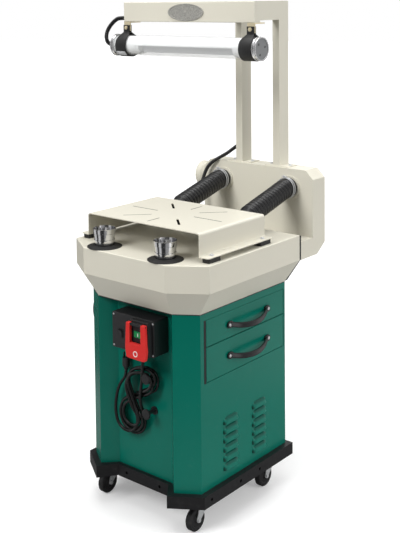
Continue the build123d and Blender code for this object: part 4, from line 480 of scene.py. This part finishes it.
def closed(rows):
    """A tube's surface from its rings of points, with each end drawn in to its middle."""
    ends = rows[[0, -1]].mean(axis=1, keepdims=True).repeat(rows.shape[1], 1)
    rows = np.concatenate([ends[:1], rows, ends[1:]])
    return rows, quads(len(rows), rows.shape[1])


def lathe(profile, around):
    """Turned form: x = r cos u, y = r sin u, z = h, for each (r, h) of the profile and u round the turn."""
    r, h = np.asarray(profile, float).T[:, :, None]
    u = np.arange(around) * 2 * pi / around
    points = np.stack([r * np.cos(u), r * np.sin(u), np.broadcast_to(h, (len(h), around))], -1)
    return points, quads(len(points), around)


def bowed(value, power):
    """A number raised to a power with its sign kept."""
    return np.sign(value) * np.abs(value) ** power


def rounded(profile, radius, steps=4):
    """A profile with each inner corner replaced by a small quadratic arc of about that reach."""
    p = np.asarray(profile, float)
    a, b, c = p[:-2], p[1:-1], p[2:]
    reach_in = np.minimum(radius / np.maximum(np.linalg.norm(a - b, axis=1), 1e-9), 0.45)[:, None]
    reach_out = np.minimum(radius / np.maximum(np.linalg.norm(c - b, axis=1), 1e-9), 0.45)[:, None]
    start, end = b + (a - b) * reach_in, b + (c - b) * reach_out
    t = np.linspace(0, 1, steps)[None, :, None]
    arcs = (1 - t) ** 2 * start[:, None] + 2 * t * (1 - t) * b[:, None] + t ** 2 * end[:, None]
    return np.concatenate([p[:1], arcs.reshape(-1, p.shape[1]), p[-1:]])


def stood(points, origin, axis):
    """Points with z turned to a level axis and y turned to straight up, then moved to the origin."""
    w = np.asarray(axis, float) / np.linalg.norm(axis)
    u = np.cross((0.0, 0.0, 1.0), w)
    u = u / np.linalg.norm(u)
    v = np.cross(w, u)
    return np.asarray(points) @ np.stack([u, v, w]) + np.asarray(origin, float)


def carried(line, radii, around, side):
    """Round section carried along a line: p + r (cos u across + sin u beside), both square to its run.

    line is (n, 3), radii is one number, (n,) or (n, around), and side is a direction never along the line."""
    run = np.gradient(line, axis=0)
    run /= np.linalg.norm(run, axis=1, keepdims=True)
    across = np.cross(run, side)
    across /= np.linalg.norm(across, axis=1, keepdims=True)
    beside = np.cross(run, across)
    u = np.arange(around) * 2 * pi / around
    r = np.asarray(radii, float)
    r = np.broadcast_to(r.reshape(len(r), -1) if r.ndim else r, (len(line), around))[..., None]
    ring = np.cos(u)[None, :, None] * across[:, None] + np.sin(u)[None, :, None] * beside[:, None]
    return line[:, None] + r * ring


def evenly(line, step):
    """The same line with points an equal run apart, and the run at each."""
    run = np.concatenate([[0.0], np.cumsum(np.linalg.norm(np.diff(line, axis=0), axis=1))])
    s = np.linspace(0.0, run[-1], max(2, int(run[-1] / step)))
    return np.stack([np.interp(s, run, line[:, k]) for k in range(3)], 1), s


def smooth_curve(name, points, bevel=0.0, fineness=12):
    """A curve object of one open NURBS spline of order 3: its control points in millimetres, its bevel in metres."""
    curve = bpy.data.curves.new(name, "CURVE")
    curve.dimensions = "3D"
    curve.resolution_u = fineness
    curve.render_resolution_u = fineness
    spline = curve.splines.new("NURBS")
    spline.points.add(len(points) - 1)
    spots = np.concatenate([metres(points), np.ones((len(points), 1))], 1)
    spline.points.foreach_set("co", spots.astype(np.float32).ravel())
    spline.order_u = 3
    spline.use_endpoint_u = True
    curve.bevel_depth = bevel
    curve.bevel_resolution = 5
    made = bpy.data.objects.new(name, curve)
    bpy.context.scene.collection.objects.link(made)
    return made


def smooth_line(points):
    """The points that a NURBS spline through a route runs along, in millimetres."""
    guide = smooth_curve("guide", points)
    bpy.context.view_layer.update()
    mesh = bpy.data.meshes.new_from_object(guide.evaluated_get(bpy.context.evaluated_depsgraph_get()))
    line = np.zeros(len(mesh.vertices) * 3, np.float32)
    mesh.vertices.foreach_get("co", line)
    curve = guide.data
    bpy.data.objects.remove(guide)
    bpy.data.curves.remove(curve)
    bpy.data.meshes.remove(mesh)
    return line.reshape(-1, 3).astype(float) / MM + ORIGIN


# ---- power cord -------------------------------------------------------------------------------
FRONT, BACK = -240.5, -228.0            # y of the runs that pass in front and behind, below the upper peg
FRONT_TOP, BACK_TOP = -244.0, -233.5    # and of those that hang over it
cord_entry = [
    (28, -250, 559), (28, -250.5, 541), (28, -253.5, 524), (27.5, -255.5, 504), (26, -255.5, 480),
    (22, -254.5, 458), (18, -254.5, 436), (15, -254, 414), (15, -252, 392), (19, -247, 370),
]
outer_turn = [
    (22, -240, 346), (20, -233, 318), (6, -229, 292), (-18, BACK, 274), (-50, BACK, 270), (-80, BACK, 282),
    (-98, BACK, 308), (-101, BACK, 340), (-91, BACK, 368), (-68, BACK, 389), (-36, BACK, 406),
    (-8, -229, 420), (18, -236, 434), (40, -243, 446), (60, FRONT_TOP, 456), (72, FRONT_TOP, 472),
    (75, FRONT_TOP, 490), (64, FRONT_TOP, 506), (40, FRONT_TOP, 513), (6, FRONT_TOP, 509),
    (-24, FRONT_TOP, 498), (-42, -243, 478), (-47, -242, 454), (-38, FRONT, 430), (-24, FRONT, 402),
    (-10, FRONT, 374),
]
inner_turn = [
    (5, -239, 350), (8, -236, 326), (-3, -231, 304), (-24, -229, 290), (-50, BACK, 288), (-74, BACK, 300),
    (-86, BACK, 322), (-85, BACK, 348), (-70, BACK, 370), (-40, BACK, 389), (-10, BACK, 405),
    (18, -229, 419), (44, -232, 432), (66, BACK_TOP, 444), (77, BACK_TOP, 462), (79, BACK_TOP, 484),
    (66, BACK_TOP, 505), (38, BACK_TOP, 514), (6, BACK_TOP, 510), (-26, BACK_TOP, 499), (-50, -235, 478),
    (-60, -238, 452), (-52, FRONT, 426), (-37, FRONT, 396), (-22, -241, 368),
]
cord_exit = [
    (-9, -242, 344), (-7, -243, 318), (-20, -243.5, 292), (-46, -243.5, 278), (-78, -243.5, 280),
    (-102, -243, 300), (-112, -241, 332), (-112, -239, 366), (-106, -237, 400), (-95, -235, 428),
    (-80, -234, 447), (-68, -234, 463), (-66, -234, 480),
]


def drawn_in(turn, share, towards, forward):
    """A turn of the cord drawn in towards a point in x and z, and brought forward of the one behind it."""
    turn = np.asarray(turn, float)
    middle = np.array([towards[0], 0.0, towards[1]])
    kept = np.array([share, 1.0, share])
    return (turn * kept + middle * (1 - kept) + (0, -forward, 0)).tolist()


third_turn = drawn_in(outer_turn, 0.90, (-6.0, 392.0), 10.0)
fourth_turn = drawn_in(inner_turn, 0.86, (-4.0, 396.0), 14.0)
cord_route = cord_entry + outer_turn + inner_turn + third_turn + fourth_turn + cord_exit
cord_run = smooth_line(cord_route)
power_cord = smooth_curve("power_lead", cord_route, CORD_R * 0.001, 10)
power_cord.data.materials.append(finishes["cord_sheath"])
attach(power_cord, "machine")
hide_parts("power_cord", "cord_hank")


# ---- dust hoses -------------------------------------------------------------------------------
def arced(corners, radii, steps=30):
    """A route of straight runs whose inner corners are arcs: b + w r / sin(h), for half the corner's angle h."""
    corners = np.asarray(corners, float)
    line = [corners[:1]]
    for a, b, c, r in zip(corners, corners[1:], corners[2:], radii):
        one, two = (a - b) / np.linalg.norm(a - b), (c - b) / np.linalg.norm(c - b)
        half = np.arccos(one @ two) / 2
        centre = b + (one + two) / np.linalg.norm(one + two) * r / np.sin(half)
        start, end = b + one * r / np.tan(half) - centre, b + two * r / np.tan(half) - centre
        turn = pi - 2 * half
        t = np.linspace(0, 1, steps)[:, None]
        line.append(centre + (np.sin((1 - t) * turn) * start + np.sin(t * turn) * end) / np.sin(turn))
    return np.concatenate(line + [corners[-1:]])


HOSE_AROUND = 56
RIB_PITCH, RIB_DEPTH = 15.5, 3.6
CUFF, LOWER_CUFF, CUFF_DROP = 24.0, 8.0, 0.9    # plain lengths at the two ends, and how far they lie below R


def dust_hose(side):
    """Wire-wound hose: outer radius R - d (1 - |sin(pi (s / pitch - u / 2 pi))|^0.9), smooth at its cuffs."""
    line, s = evenly(arced(HOSE_CORNERS, HOSE_RADII), 1.1)
    line = line + np.array([side * HOSE_X, 0, 0])
    u = np.arange(HOSE_AROUND)[None, :] / HOSE_AROUND
    ribbed = np.clip(np.minimum(s - CUFF, s[-1] - s - LOWER_CUFF) / 6.0, 0, 1)[:, None]
    thread = np.abs(np.sin(pi * (s[:, None] / RIB_PITCH - u))) ** 0.9
    radii = HOSE_R - RIB_DEPTH * (1 - thread) * ribbed - CUFF_DROP * (1 - ribbed)
    outer = carried(line, radii, HOSE_AROUND, (1, 0, 0))
    inner = carried(line[::12], HOSE_R - HOSE_WALL, HOSE_AROUND, (1, 0, 0))
    rows = np.concatenate([outer, inner[::-1]])
    return rows, quads(len(rows), HOSE_AROUND, wrap_rows=True)


piece("dust_hose_pair", *join(dust_hose(-1), dust_hose(1)), "hose_plastic", replaces=["dust_hoses"])


# ---- lamp cables ------------------------------------------------------------------------------
lamp_route = [
    (-349, 20, 1565), (-365, 20, 1565), (-387, 21, 1575), (-392, 23, 1603), (-376, 26, 1633),
    (-347, 33, 1659.5), (-324, 33, 1662.5), (-303, 33, 1662.5),
]
lower_route = [
    (-111, 445, 1155), (-122, 443, 1148), (-145, 434, 1128), (-173, 424, 1111), (-195, 411, 1096),
    (-213, 405, 1080), (-229, 401, 1055), (-238, 393, 1020), (-240, 372, 965), (-238, 352, 915),
    (-237, 345, 884), (-237, 345, 868),
]


def conduit(route, radius, pitch, side):
    """Corrugated sleeve: radius R - 0.5 (1 + cos(2 pi s / pitch)) mm along the route, plain for 5 mm at each end."""
    line, s = evenly(smooth_line(route), pitch / 7.0)
    ribbed = np.clip(np.minimum(s - 5.0, s[-1] - s - 5.0) / 2.0, 0, 1)
    return closed(carried(line, radius - 0.5 * (1 + np.cos(2 * pi * s / pitch)) * ribbed, 22, side))


piece("lamp_conduits", *join(conduit(lamp_route, CABLE_R, 3.4, (0, 1, 0)),
                             conduit(lower_route, LOWER_CABLE_R, 3.2, (0.6, -0.8, 0.1))),
      "hose_plastic", replaces=["lamp_cables"], slot="black_rubber")


# ---- lamp -------------------------------------------------------------------------------------
def teardrop(radius, peak, half_gap, count):
    """Outline in y and z of a strap: round the tube, then straight up both sides to the ears.

    The sides leave the circle where they are tangent to it, and close in to half_gap at height peak."""
    reach = np.hypot(half_gap, peak)
    leave = np.arccos(radius / reach) - atan(half_gap / peak)
    turn = np.linspace(pi / 2 - leave, pi / 2 + leave - 2 * pi, count)
    circle = np.stack([radius * np.cos(turn), radius * np.sin(turn)], 1)
    return np.concatenate([[[half_gap, peak]], circle, [[-half_gap, peak]]])


STRAP_R, STRAP_SHEET = 39.4, 3.6             # middle of the band's sheet round the tube, and its thickness
EAR_GAP, EAR_FOOT, EAR_TOP, EAR_HALF = 5.2, 47.0, 73.0, 14.0
NECK_FOOT, NECK_RISE = 24.0, 22.0            # height above the axis at which the band starts to narrow, and over


def strap(x):
    """Band of sheet along the teardrop, narrowing from the tube to its pinched ears."""
    outline = teardrop(STRAP_R, EAR_FOOT, EAR_GAP, 61)
    outline = np.concatenate([[[EAR_GAP, EAR_TOP]], outline, [[-EAR_GAP, EAR_TOP]]])
    run = np.gradient(outline, axis=0)
    normal = np.stack([run[:, 1], -run[:, 0]], 1) / np.linalg.norm(run, axis=1, keepdims=True)
    rise = np.clip((outline[:, 1] - NECK_FOOT) / NECK_RISE, 0, 1)
    half = STRAP_W / 2 - (STRAP_W / 2 - EAR_HALF) * rise ** 1.5
    edge = rounded([(-1.0, 1.0), (-1.0, -1.0), (1.0, -1.0), (1.0, 1.0), (-1.0, 1.0)], 0.45, 3)[:-1]
    across, out = edge[:, 0], edge[:, 1]
    along_x = np.sign(across) * np.maximum(half[:, None] - 1.5 * (1 - np.abs(across)), 0)
    spread = outline[:, None] + normal[:, None] * out[None, :, None] * STRAP_SHEET / 2
    return closed(np.stack([x + along_x, LAMP_Y + spread[..., 0], LAMP_Z + spread[..., 1]], -1))


def slab(a, b, t, corner, edge=0.8):
    """Flat plate: nested rounded rectangles of half sizes a - i and b - i, rising to t over a rounded edge."""
    around = 48
    u = (np.arange(around) + 0.5) * 2 * pi / around
    rise = rounded([(min(a, b), 0.0), (0.0, 0.0), (0.0, t), (min(a, b), t)], edge, 4)
    inset = rise[:, :1]
    r = np.maximum(corner - inset, 0.02)
    x = np.sign(np.cos(u)) * np.maximum(a - inset - r, 0) + r * np.cos(u)
    y = np.sign(np.sin(u)) * np.maximum(b - inset - r, 0) + r * np.sin(u)
    points = np.stack([x, y, np.broadcast_to(rise[:, 1:], x.shape)], -1)
    for end in (0, -1):
        points[end, :, :2] = 0.0
    return points, quads(len(points), around)


CLASP_R, CLASP_TURN = 42.6, radians(-42)    # where the clasp lies on the strap, below the level of the axis


def buckle():
    """Pressed clasp on the lower front of the left strap: a plate 42 wide and 20 high, bent round the tube."""
    points, faces = slab(21.0, 10.0, t=2.6, corner=5.0)
    x, along, out = np.reshape(points, (-1, 3)).T
    angle, r = CLASP_TURN + along / (CLASP_R + 0.4), CLASP_R + out
    return np.stack([STRAP_X[0] + x, LAMP_Y - r * np.cos(angle), LAMP_Z + r * np.sin(angle)], 1), faces


CAP_BACK, CAP_BORE, CAP_LAP = -9.0, 37.1, 7.0    # the cap's inner end, its bore, and how far its rim overlaps
BEAD_AT, BEAD_R = (37.3, 4.3), 2.7               # middle of the rolled rim's section, and its radius


def lamp_cap(x, way, nose=False):
    """Turned cap: grooved barrel, rolled rim, and a sunk face with three round dimples.

    The face dips 2.2 mm within 3.2 mm of each dimple's centre, and evenly less out to 4.8 mm."""
    u = np.linspace(0, 1.15 * pi, 14)
    bead = BEAD_AT + BEAD_R * np.stack([np.cos(u), np.sin(u)], 1)
    barrel = rounded([(CAP_BORE, CAP_BACK), (39.6, CAP_BACK), (39.6, -7.0), (37.6, -6.0), (37.6, -3.0), (39.4, -2.0),
                      (39.4, 1.0), (40.0, 2.0)], 0.5, 3)
    sunk = np.stack([np.linspace(FACE_R, 0.0, 44), np.full(44, 4.2)], 1)
    inside = [(0.0, -2.0), (CAP_BORE, -2.0), (CAP_BORE, CAP_BACK)]
    points, faces = lathe(np.concatenate([barrel, bead, sunk, inside]), 120)
    face = slice(len(barrel) + len(bead), len(barrel) + len(bead) + len(sunk))
    for y, z in DIMPLES:
        off = np.linalg.norm(points[face, :, :2] - (way * y, z), axis=-1)
        points[face, :, 2] -= DIMPLE_DEEP * (1 - np.clip((off - DIMPLE_R) / DIMPLE_WALL, 0, 1))
    parts = [(stood(points, (x - way * CAP_LAP, LAMP_Y, LAMP_Z), (way, 0, 0)), faces)]
    if nose:
        turned = rounded([(0, -1), (10.5, -1), (10.5, 11), (9.0, 12), (9.0, CAP_NOSE), (0, CAP_NOSE)], 0.8, 3)
        points, faces = lathe(turned, 40)
        parts.append((stood(points, (x, LAMP_Y, LAMP_Z), (way, 0, 0)), faces))
    return join(*parts)


def reflector(x0, x1):
    """Half shell over the strip: y = r cos u, z = 1.5 + r sin u for u from 0 to pi, closed at its edges and ends."""
    inner, outer = 30.6, 31.9
    u = np.linspace(0, pi, 41)
    rings = []
    for x, r in ((x0, inner), (x0, outer), (x1, outer), (x1, inner)):
        turn, reach = np.concatenate([u, u[::-1]]), np.repeat((r, inner), len(u))
        rings.append(np.stack([np.full(len(turn), x), LAMP_Y + reach * np.cos(turn),
                               LAMP_Z + 1.5 + reach * np.sin(turn)], 1))
    return np.stack(rings), quads(4, 2 * len(u))


def socket(x, way, length):
    """White lamp holder: a stepped drum that nearly fills the tube, with a dished end face."""
    profile = rounded([(0, 0), (31.5, 0), (31.5, length - 14), (29.5, length - 12), (29.5, length),
                       (24.0, length), (22.5, length - 3), (0, length - 3)], 1.2, 4)
    points, faces = lathe(profile, 64)
    return stood(points, (x, LAMP_Y, LAMP_Z), (way, 0, 0)), faces


def light_strip(x0, x1):
    """Strip carrier between the holders, with its face a little below the axis."""
    points, faces = slab((x1 - x0) / 2, 13.0, t=9.0, corner=2.0)
    return stood(points, ((x0 + x1) / 2, LAMP_Y + 6.0, LAMP_Z - 11.0), (0, -1, 0)), faces


INSIDE_X0, INSIDE_X1 = LAMP_X0 + 7.5, LAMP_X1 - 7.5
LEFT_SOCKET, RIGHT_SOCKET, STRIP_TUCK = 124.0, 94.0, 4.0    # lengths, and how far the strip reaches into them
piece("lamp_holders", *join(reflector(INSIDE_X0, INSIDE_X1), socket(INSIDE_X0, 1, LEFT_SOCKET),
                            socket(INSIDE_X1, -1, RIGHT_SOCKET)),
      "white_plastic", rides="lamp", replaces=["lamp_light_unit"])
piece("lamp_strip", *light_strip(INSIDE_X0 + LEFT_SOCKET - STRIP_TUCK, INSIDE_X1 - RIGHT_SOCKET + STRIP_TUCK),
      "light_unit", rides="lamp", slot="white_plastic")
piece("lamp_caps", *join(lamp_cap(LAMP_X0, -1, nose=True), lamp_cap(LAMP_X1, 1)), "cap_metal",
      rides="lamp", replaces=["lamp_end_caps"], slot="chrome")
piece("lamp_strap_bands", *join(*map(strap, STRAP_X)), "black_rubber", replaces=["lamp_straps"])
piece("strap_buckle", *buckle(), "zinc")


# ---- badge plate ------------------------------------------------------------------------------
BADGE_Z, BADGE_HALF_X, BADGE_HALF_Z = 1684.0, 80.5, 30.0


def badge():
    """Bare oval plate: a raised rolled rim round a slightly crowned field, turned and then drawn out to the oval."""
    rim = rounded([(0, 2.6), (0.88, 2.2), (0.90, 3.4), (0.985, 3.4), (1.0, 0.0), (0, 0.0)], 0.03, 5)
    points, faces = lathe(rim, 96)
    x, z, h = np.moveaxis(points, -1, 0)
    return np.stack([BADGE_HALF_X * x, BEAM_FRONT - 0.02 - h, BADGE_Z + BADGE_HALF_Z * z], -1), faces


piece("badge_plate", *badge(), "antique_nickel", slot="zinc")


# ---- drawers ----------------------------------------------------------------------------------
GRIP_BACK, GRIP_THICK, GRIP_TALL = 5.0, 4.2, (8.4, 1.2)    # the last: half height by the lugs, and its rise
LUG_OUT = 7.5
DRAWERS = (("upper_drawer", 658.0), ("lower_drawer", 554.0))


def bow_handle(z):
    """Bowed grip: y = 101 t, out = 5 + 27 (1 - t^2), down = 14 (1 - t^2), on two oval lugs.

    The section is a superellipse whose half height goes from 9.6 in the middle to 8.4 near the lugs."""
    t = np.linspace(-1, 1, 61)
    line = np.stack([GRIP_BACK + HANDLE_OUT * (1 - t ** 2), HANDLE_HALF * t, -HANDLE_DROP * (1 - t ** 2)], 1)
    run = np.gradient(line, axis=0)
    run /= np.linalg.norm(run, axis=1, keepdims=True)
    across = np.cross(run, (0.0, 0.0, 1.0))
    across /= np.linalg.norm(across, axis=1, keepdims=True)
    beside = np.cross(across, run)
    u = np.arange(28) * 2 * pi / 28
    flat, tall = [bowed(turn, 0.6)[None, :, None] for turn in (np.cos(u), np.sin(u))]
    half = (GRIP_TALL[0] + GRIP_TALL[1] * (1 - t ** 2))[:, None, None]
    rows = line[:, None] + across[:, None] * GRIP_THICK * flat + beside[:, None] * half * tall
    parts = [closed(rows + (SIDE_X, HANDLE_Y, z))]
    for side in (-1, 1):
        lug, faces = slab(15.0, 11.5, t=LUG_OUT, corner=11.0, edge=2.4)
        parts.append((stood(lug, (SIDE_X, HANDLE_Y + side * (HANDLE_HALF + 3.0), z), (1, 0, 0)), faces))
    return join(*parts)


def handle_screws(z):
    """Low domed screw heads in the lugs."""
    dome, faces = lathe(rounded([(0, 2.2), (3.6, 1.9), (5.4, 0.9), (5.6, -0.5), (0, -0.5)], 0.6, 4), 28)
    return join(*[(stood(dome, (SIDE_X + LUG_OUT, HANDLE_Y + side * (HANDLE_HALF + 8.0), z), (1, 0, 0)), faces)
                  for side in (-1, 1)])


for drawer, z in DRAWERS:
    piece(drawer + "_grip", *bow_handle(z), "handle_gloss", rides=drawer, replaces=[drawer + "_handle"],
          slot="black_plastic")
    piece(drawer + "_grip_screws", *handle_screws(z), "zinc", rides=drawer)


def gap_shadow_strip():
    """Flat black strip on the right side sheet in front of the drawers, a painted shadow for the gap beside them."""
    points, faces = slab(4.8, 103.5, t=0.8, corner=0.8, edge=0.3)
    return stood(points, (SIDE_X - 0.1, -188.5, 599.5), (1, 0, 0)), faces


# painted shadow: a black strip where the gap beside the drawers lies in shade
piece("drawer_gap_shadow_strips", *gap_shadow_strip(), "black_rubber")


# ---- louvres ----------------------------------------------------------------------------------
HOOD_OUT, HOOD_TALL = 8.5, 24.0


def hood(y, z):
    """Pressed hood, with v from its lower edge up and e from end to end, both ends and the top drawn in.

    It stands out 8.5 (1 - v^2.2)^0.6 (1 - |e|^5)^0.6, at a height of 1 + 24 v (1 - 0.55 |e|^7)."""
    e, v = np.linspace(-1, 1, 33)[:, None], np.linspace(0, 1, 13)[None, :]
    out = HOOD_OUT * (1 - v ** 2.2) ** 0.6 * (1 - np.abs(e) ** 5) ** 0.6
    up = HOOD_TALL * v * (1 - 0.55 * np.abs(e) ** 7) + 1.0
    front = np.stack([SIDE_X + 0.02 + out, y + LOUVRE_HALF * e + 0 * v, z + up + 0 * e], -1)
    back = front * (0, 1, 1) + (SIDE_X - 1.2, 0, 0)
    return closed(np.concatenate([front, back[:, ::-1]], 1))


piece("louvre_hoods", *join(*[hood(y, LOUVRE_LOW + row * LOUVRE_PITCH)
                              for y in LOUVRE_Y for row in range(LOUVRE_ROWS)]),
      "hood_green", slot="green_paint")


# ---- rear gasket and hose clamps --------------------------------------------------------------
def rear_bead(side):
    """Edge of the gasket between the head and the dust box."""
    points, faces = slab(4.4, 43.0, t=1.4, corner=1.0, edge=0.5)
    return stood(points, (side * 298.2, 274.4, 855.0), (side, 0, 0)), faces


piece("rear_gasket_edges", *join(rear_bead(-1), rear_bead(1)), "black_rubber")


HOOP_R, WIRE_R, HOOPS_Y, GRIP_Y = 38.4, 1.6, (401.2, 392.2), 397.0


def clamp_ring(side, y):
    """Wire hoop round the hose's cuff: a circle of radius 1.6 carried round a circle of radius 38.4."""
    u = np.linspace(0, 2 * pi, 17)
    points, faces = lathe(np.stack([HOOP_R + WIRE_R * np.cos(u), WIRE_R * np.sin(u)], 1), 72)
    return stood(points, (side * HOSE_X, y, HOSE_Z), (0, 1, 0)), faces


def clamp_grip(side):
    """Loop of bent wire that stands above each clamp: y = 4.5 cos u, z = 38 + 9 sin u."""
    u = np.linspace(0, pi, 13)
    loop = np.stack([-9 + 0 * u, 4.5 * np.cos(u), 9 * np.sin(u) + 38], 1)
    loop = np.concatenate([[[-9, 4.5, 34]], loop, [[-9, -4.5, 34]]])
    return closed(carried(loop, 1.5, 10, (1, 0, 0)) + (side * HOSE_X, GRIP_Y, HOSE_Z))


def clamp_screw(side):
    """Small screw through the grip, level and across the hose."""
    points, faces = lathe(rounded([(0, 0), (2.0, 0), (2.0, 18), (4.2, 18), (4.2, 22), (0, 22)], 0.5, 3), 20)
    return stood(points, (side * HOSE_X - 20.0, GRIP_Y, HOSE_Z + 42.0), (1, 0, 0)), faces


clamps = [part for side in (-1, 1)
          for part in (*[clamp_ring(side, y) for y in HOOPS_Y], clamp_grip(side), clamp_screw(side))]
piece("hose_clamp_wires", *join(*clamps), "zinc", replaces=["hose_clamps"])


# ---- marks on the switch ----------------------------------------------------------------------
def ring_mark():
    """Flat ring standing off the paddle's face."""
    outer, inner, deep = 9.5, 6.9, 0.6
    points, faces = lathe([(inner, 0), (inner, deep), (outer, deep), (outer, 0), (inner, 0)], 48)
    return stood(points, (MARK_X, PADDLE_FACE, STOP_MARK_Z), (0, -1, 0)), faces


def bar_mark():
    """Flat upright bar standing off the start button's face."""
    points, faces = slab(1.3, 5.6, t=0.5, corner=0.5, edge=0.2)
    return stood(points, (MARK_X, BUTTON_FACE, START_MARK_Z), (0, -1, 0)), faces


piece("stop_ring", *ring_mark(), "mark_white", rides="stop_paddle", slot="white_plastic")
piece("start_bar", *bar_mark(), "mark_white", rides="on_button", slot="white_plastic")


# ---- stage ------------------------------------------------------------------------------------
REACH = 30.0                       # half the floor's side, in metres
SHADOW_R, WHITE_R = 0.9, 2.0       # the floor takes shadows within the first and is plain white past the second
FLOOR_LIFT = 0.25                  # what the camera sees added to the lit floor, so that it reads as white


def floor_card():
    """Pale card round the object that turns to plain white further out, and that reflections show darker."""
    f = Finish("floor_card", Roughness=0.9, Specular_IOR_Level=0.0, Emission_Color=(1.0, 1.0, 1.0))
    x, y, _ = f.axes()
    out = (x * x + y * y).root()
    far = out.step(SHADOW_R, WHITE_R)
    mirrored = f.ray("Is Glossy Ray")
    return f.set(Base_Color=f.blend(far.most(mirrored * 0.75), (0.80, 0.80, 0.80), (0.0, 0.0, 0.0)),
                 Emission_Strength=f.ray("Is Camera Ray") * (FLOOR_LIFT + far),
                 Alpha=1.0 - mirrored * out.step(SHADOW_R, 1.5)).material


floor = bpy.data.objects.new("floor", bpy.data.meshes.new("floor"))
floor.data.from_pydata([(x * REACH, y * REACH, 0) for x, y in ((-1, -1), (1, -1), (1, 1), (-1, 1))], [],
                       [(0, 1, 2, 3)])
bpy.context.scene.collection.objects.link(floor)
floor.data.materials.append(floor_card())


# How bright the world is over the turn, from behind the object (0 and 1) to behind the viewer (0.5).
TOP_LIGHT = 0.75
MIRRORED_BANDS = (
    (0.0, 0.05), (0.125, 0.05), (0.14, 0.70), (0.235, 0.80), (0.25, 0.05), (0.305, 0.05), (0.32, 0.80),
    (0.38, 0.75), (0.39, 0.05), (0.50, 0.04), (0.515, 0.34), (0.61, 0.45), (0.625, 1.4), (0.665, 1.4),
    (0.68, 0.16), (0.74, 0.45), (0.82, 0.75), (0.90, 0.20), (1.0, 0.05))
LIGHTING_BANDS = (
    (0.0, 0.50), (0.2, 0.25), (0.3, 0.10), (0.38, 0.25), (0.48, 0.10), (0.58, 0.6), (0.66, 1.1), (0.80, 1.0),
    (0.92, 0.6), (1.0, 0.50))


def grey(value):
    """A neutral colour."""
    return (value, value, value)


class Sky(Finish):
    """The world's light, written as the finishes are."""

    def __init__(self, name):
        self.world = bpy.data.worlds.new(name)
        bpy.context.scene.world = self.world
        self.world.use_nodes = True
        self.tree = self.world.node_tree
        self.surface = self.tree.nodes["Background"]

    def at(self):
        """Direction that the light comes from."""
        return self.node("ShaderNodeTexCoord", {}, {}, "Generated")

    def studio(self, looking):
        """Upright bands by the turn from one fixed direction, with a plain top, and white to the camera.

        Mirror-like reflections see one set of bands, and matt surfaces are lit by the other."""
        x, y, z = self.axes()
        across, back = x * cos(looking) + y * sin(looking), x * sin(looking) - y * cos(looking)
        turn = across.with_("ARCTAN2", across, back) / (2 * pi) + 0.5
        bands = [self.node("ShaderNodeValToRGB", {"stops": [(place, grey(value)) for place, value in stops]},
                           {"Fac": turn}, "Color") for stops in (LIGHTING_BANDS, MIRRORED_BANDS)]
        around = self.blend(z.step(0.35, 0.95), self.blend(self.ray("Is Glossy Ray"), *bands), grey(TOP_LIGHT))
        straight = self.ray("Is Camera Ray").most(self.ray("Is Transmission Ray"))
        self.set(Color=self.blend(straight, around, (1.0, 1.0, 1.0)), Strength=1.0)


Sky("studio").studio(radians(YAW))


def softbox(name, at, towards, size, watts, mirrored=True, spread=180):
    """Square area light at a point, looking at another, in metres."""
    light = bpy.data.lights.new(name, "AREA")
    light.shape, light.size, light.energy = "SQUARE", size, watts
    box = bpy.data.objects.new(name, light)
    box.location = at
    light.spread, box.visible_glossy = radians(spread), mirrored
    box.rotation_euler = (Vector(towards) - Vector(at)).to_track_quat("-Z", "Y").to_euler()
    bpy.context.scene.collection.objects.link(box)


softbox("key", (-0.6, -3.4, 3.4), (0, 0, 1.35), 1.8, 24.0, False, 70)
softbox("front", (-0.9, -3.2, 0.9), (0, 0, 0.5), 1.2, 3.0, False)
softbox("side", (3.6, 0.6, 1.9), (0, 0, 0.9), 2.0, 52.0, False)
softbox("overhead", (0.2, -0.2, 4.2), (0, 0, 0.9), 2.6, 78.0)
softbox("rim", (-1.0, 3.6, 3.0), (0, 0, 1.0), 2.0, 35.0)
bpy.context.scene.view_settings.view_transform = "Standard"
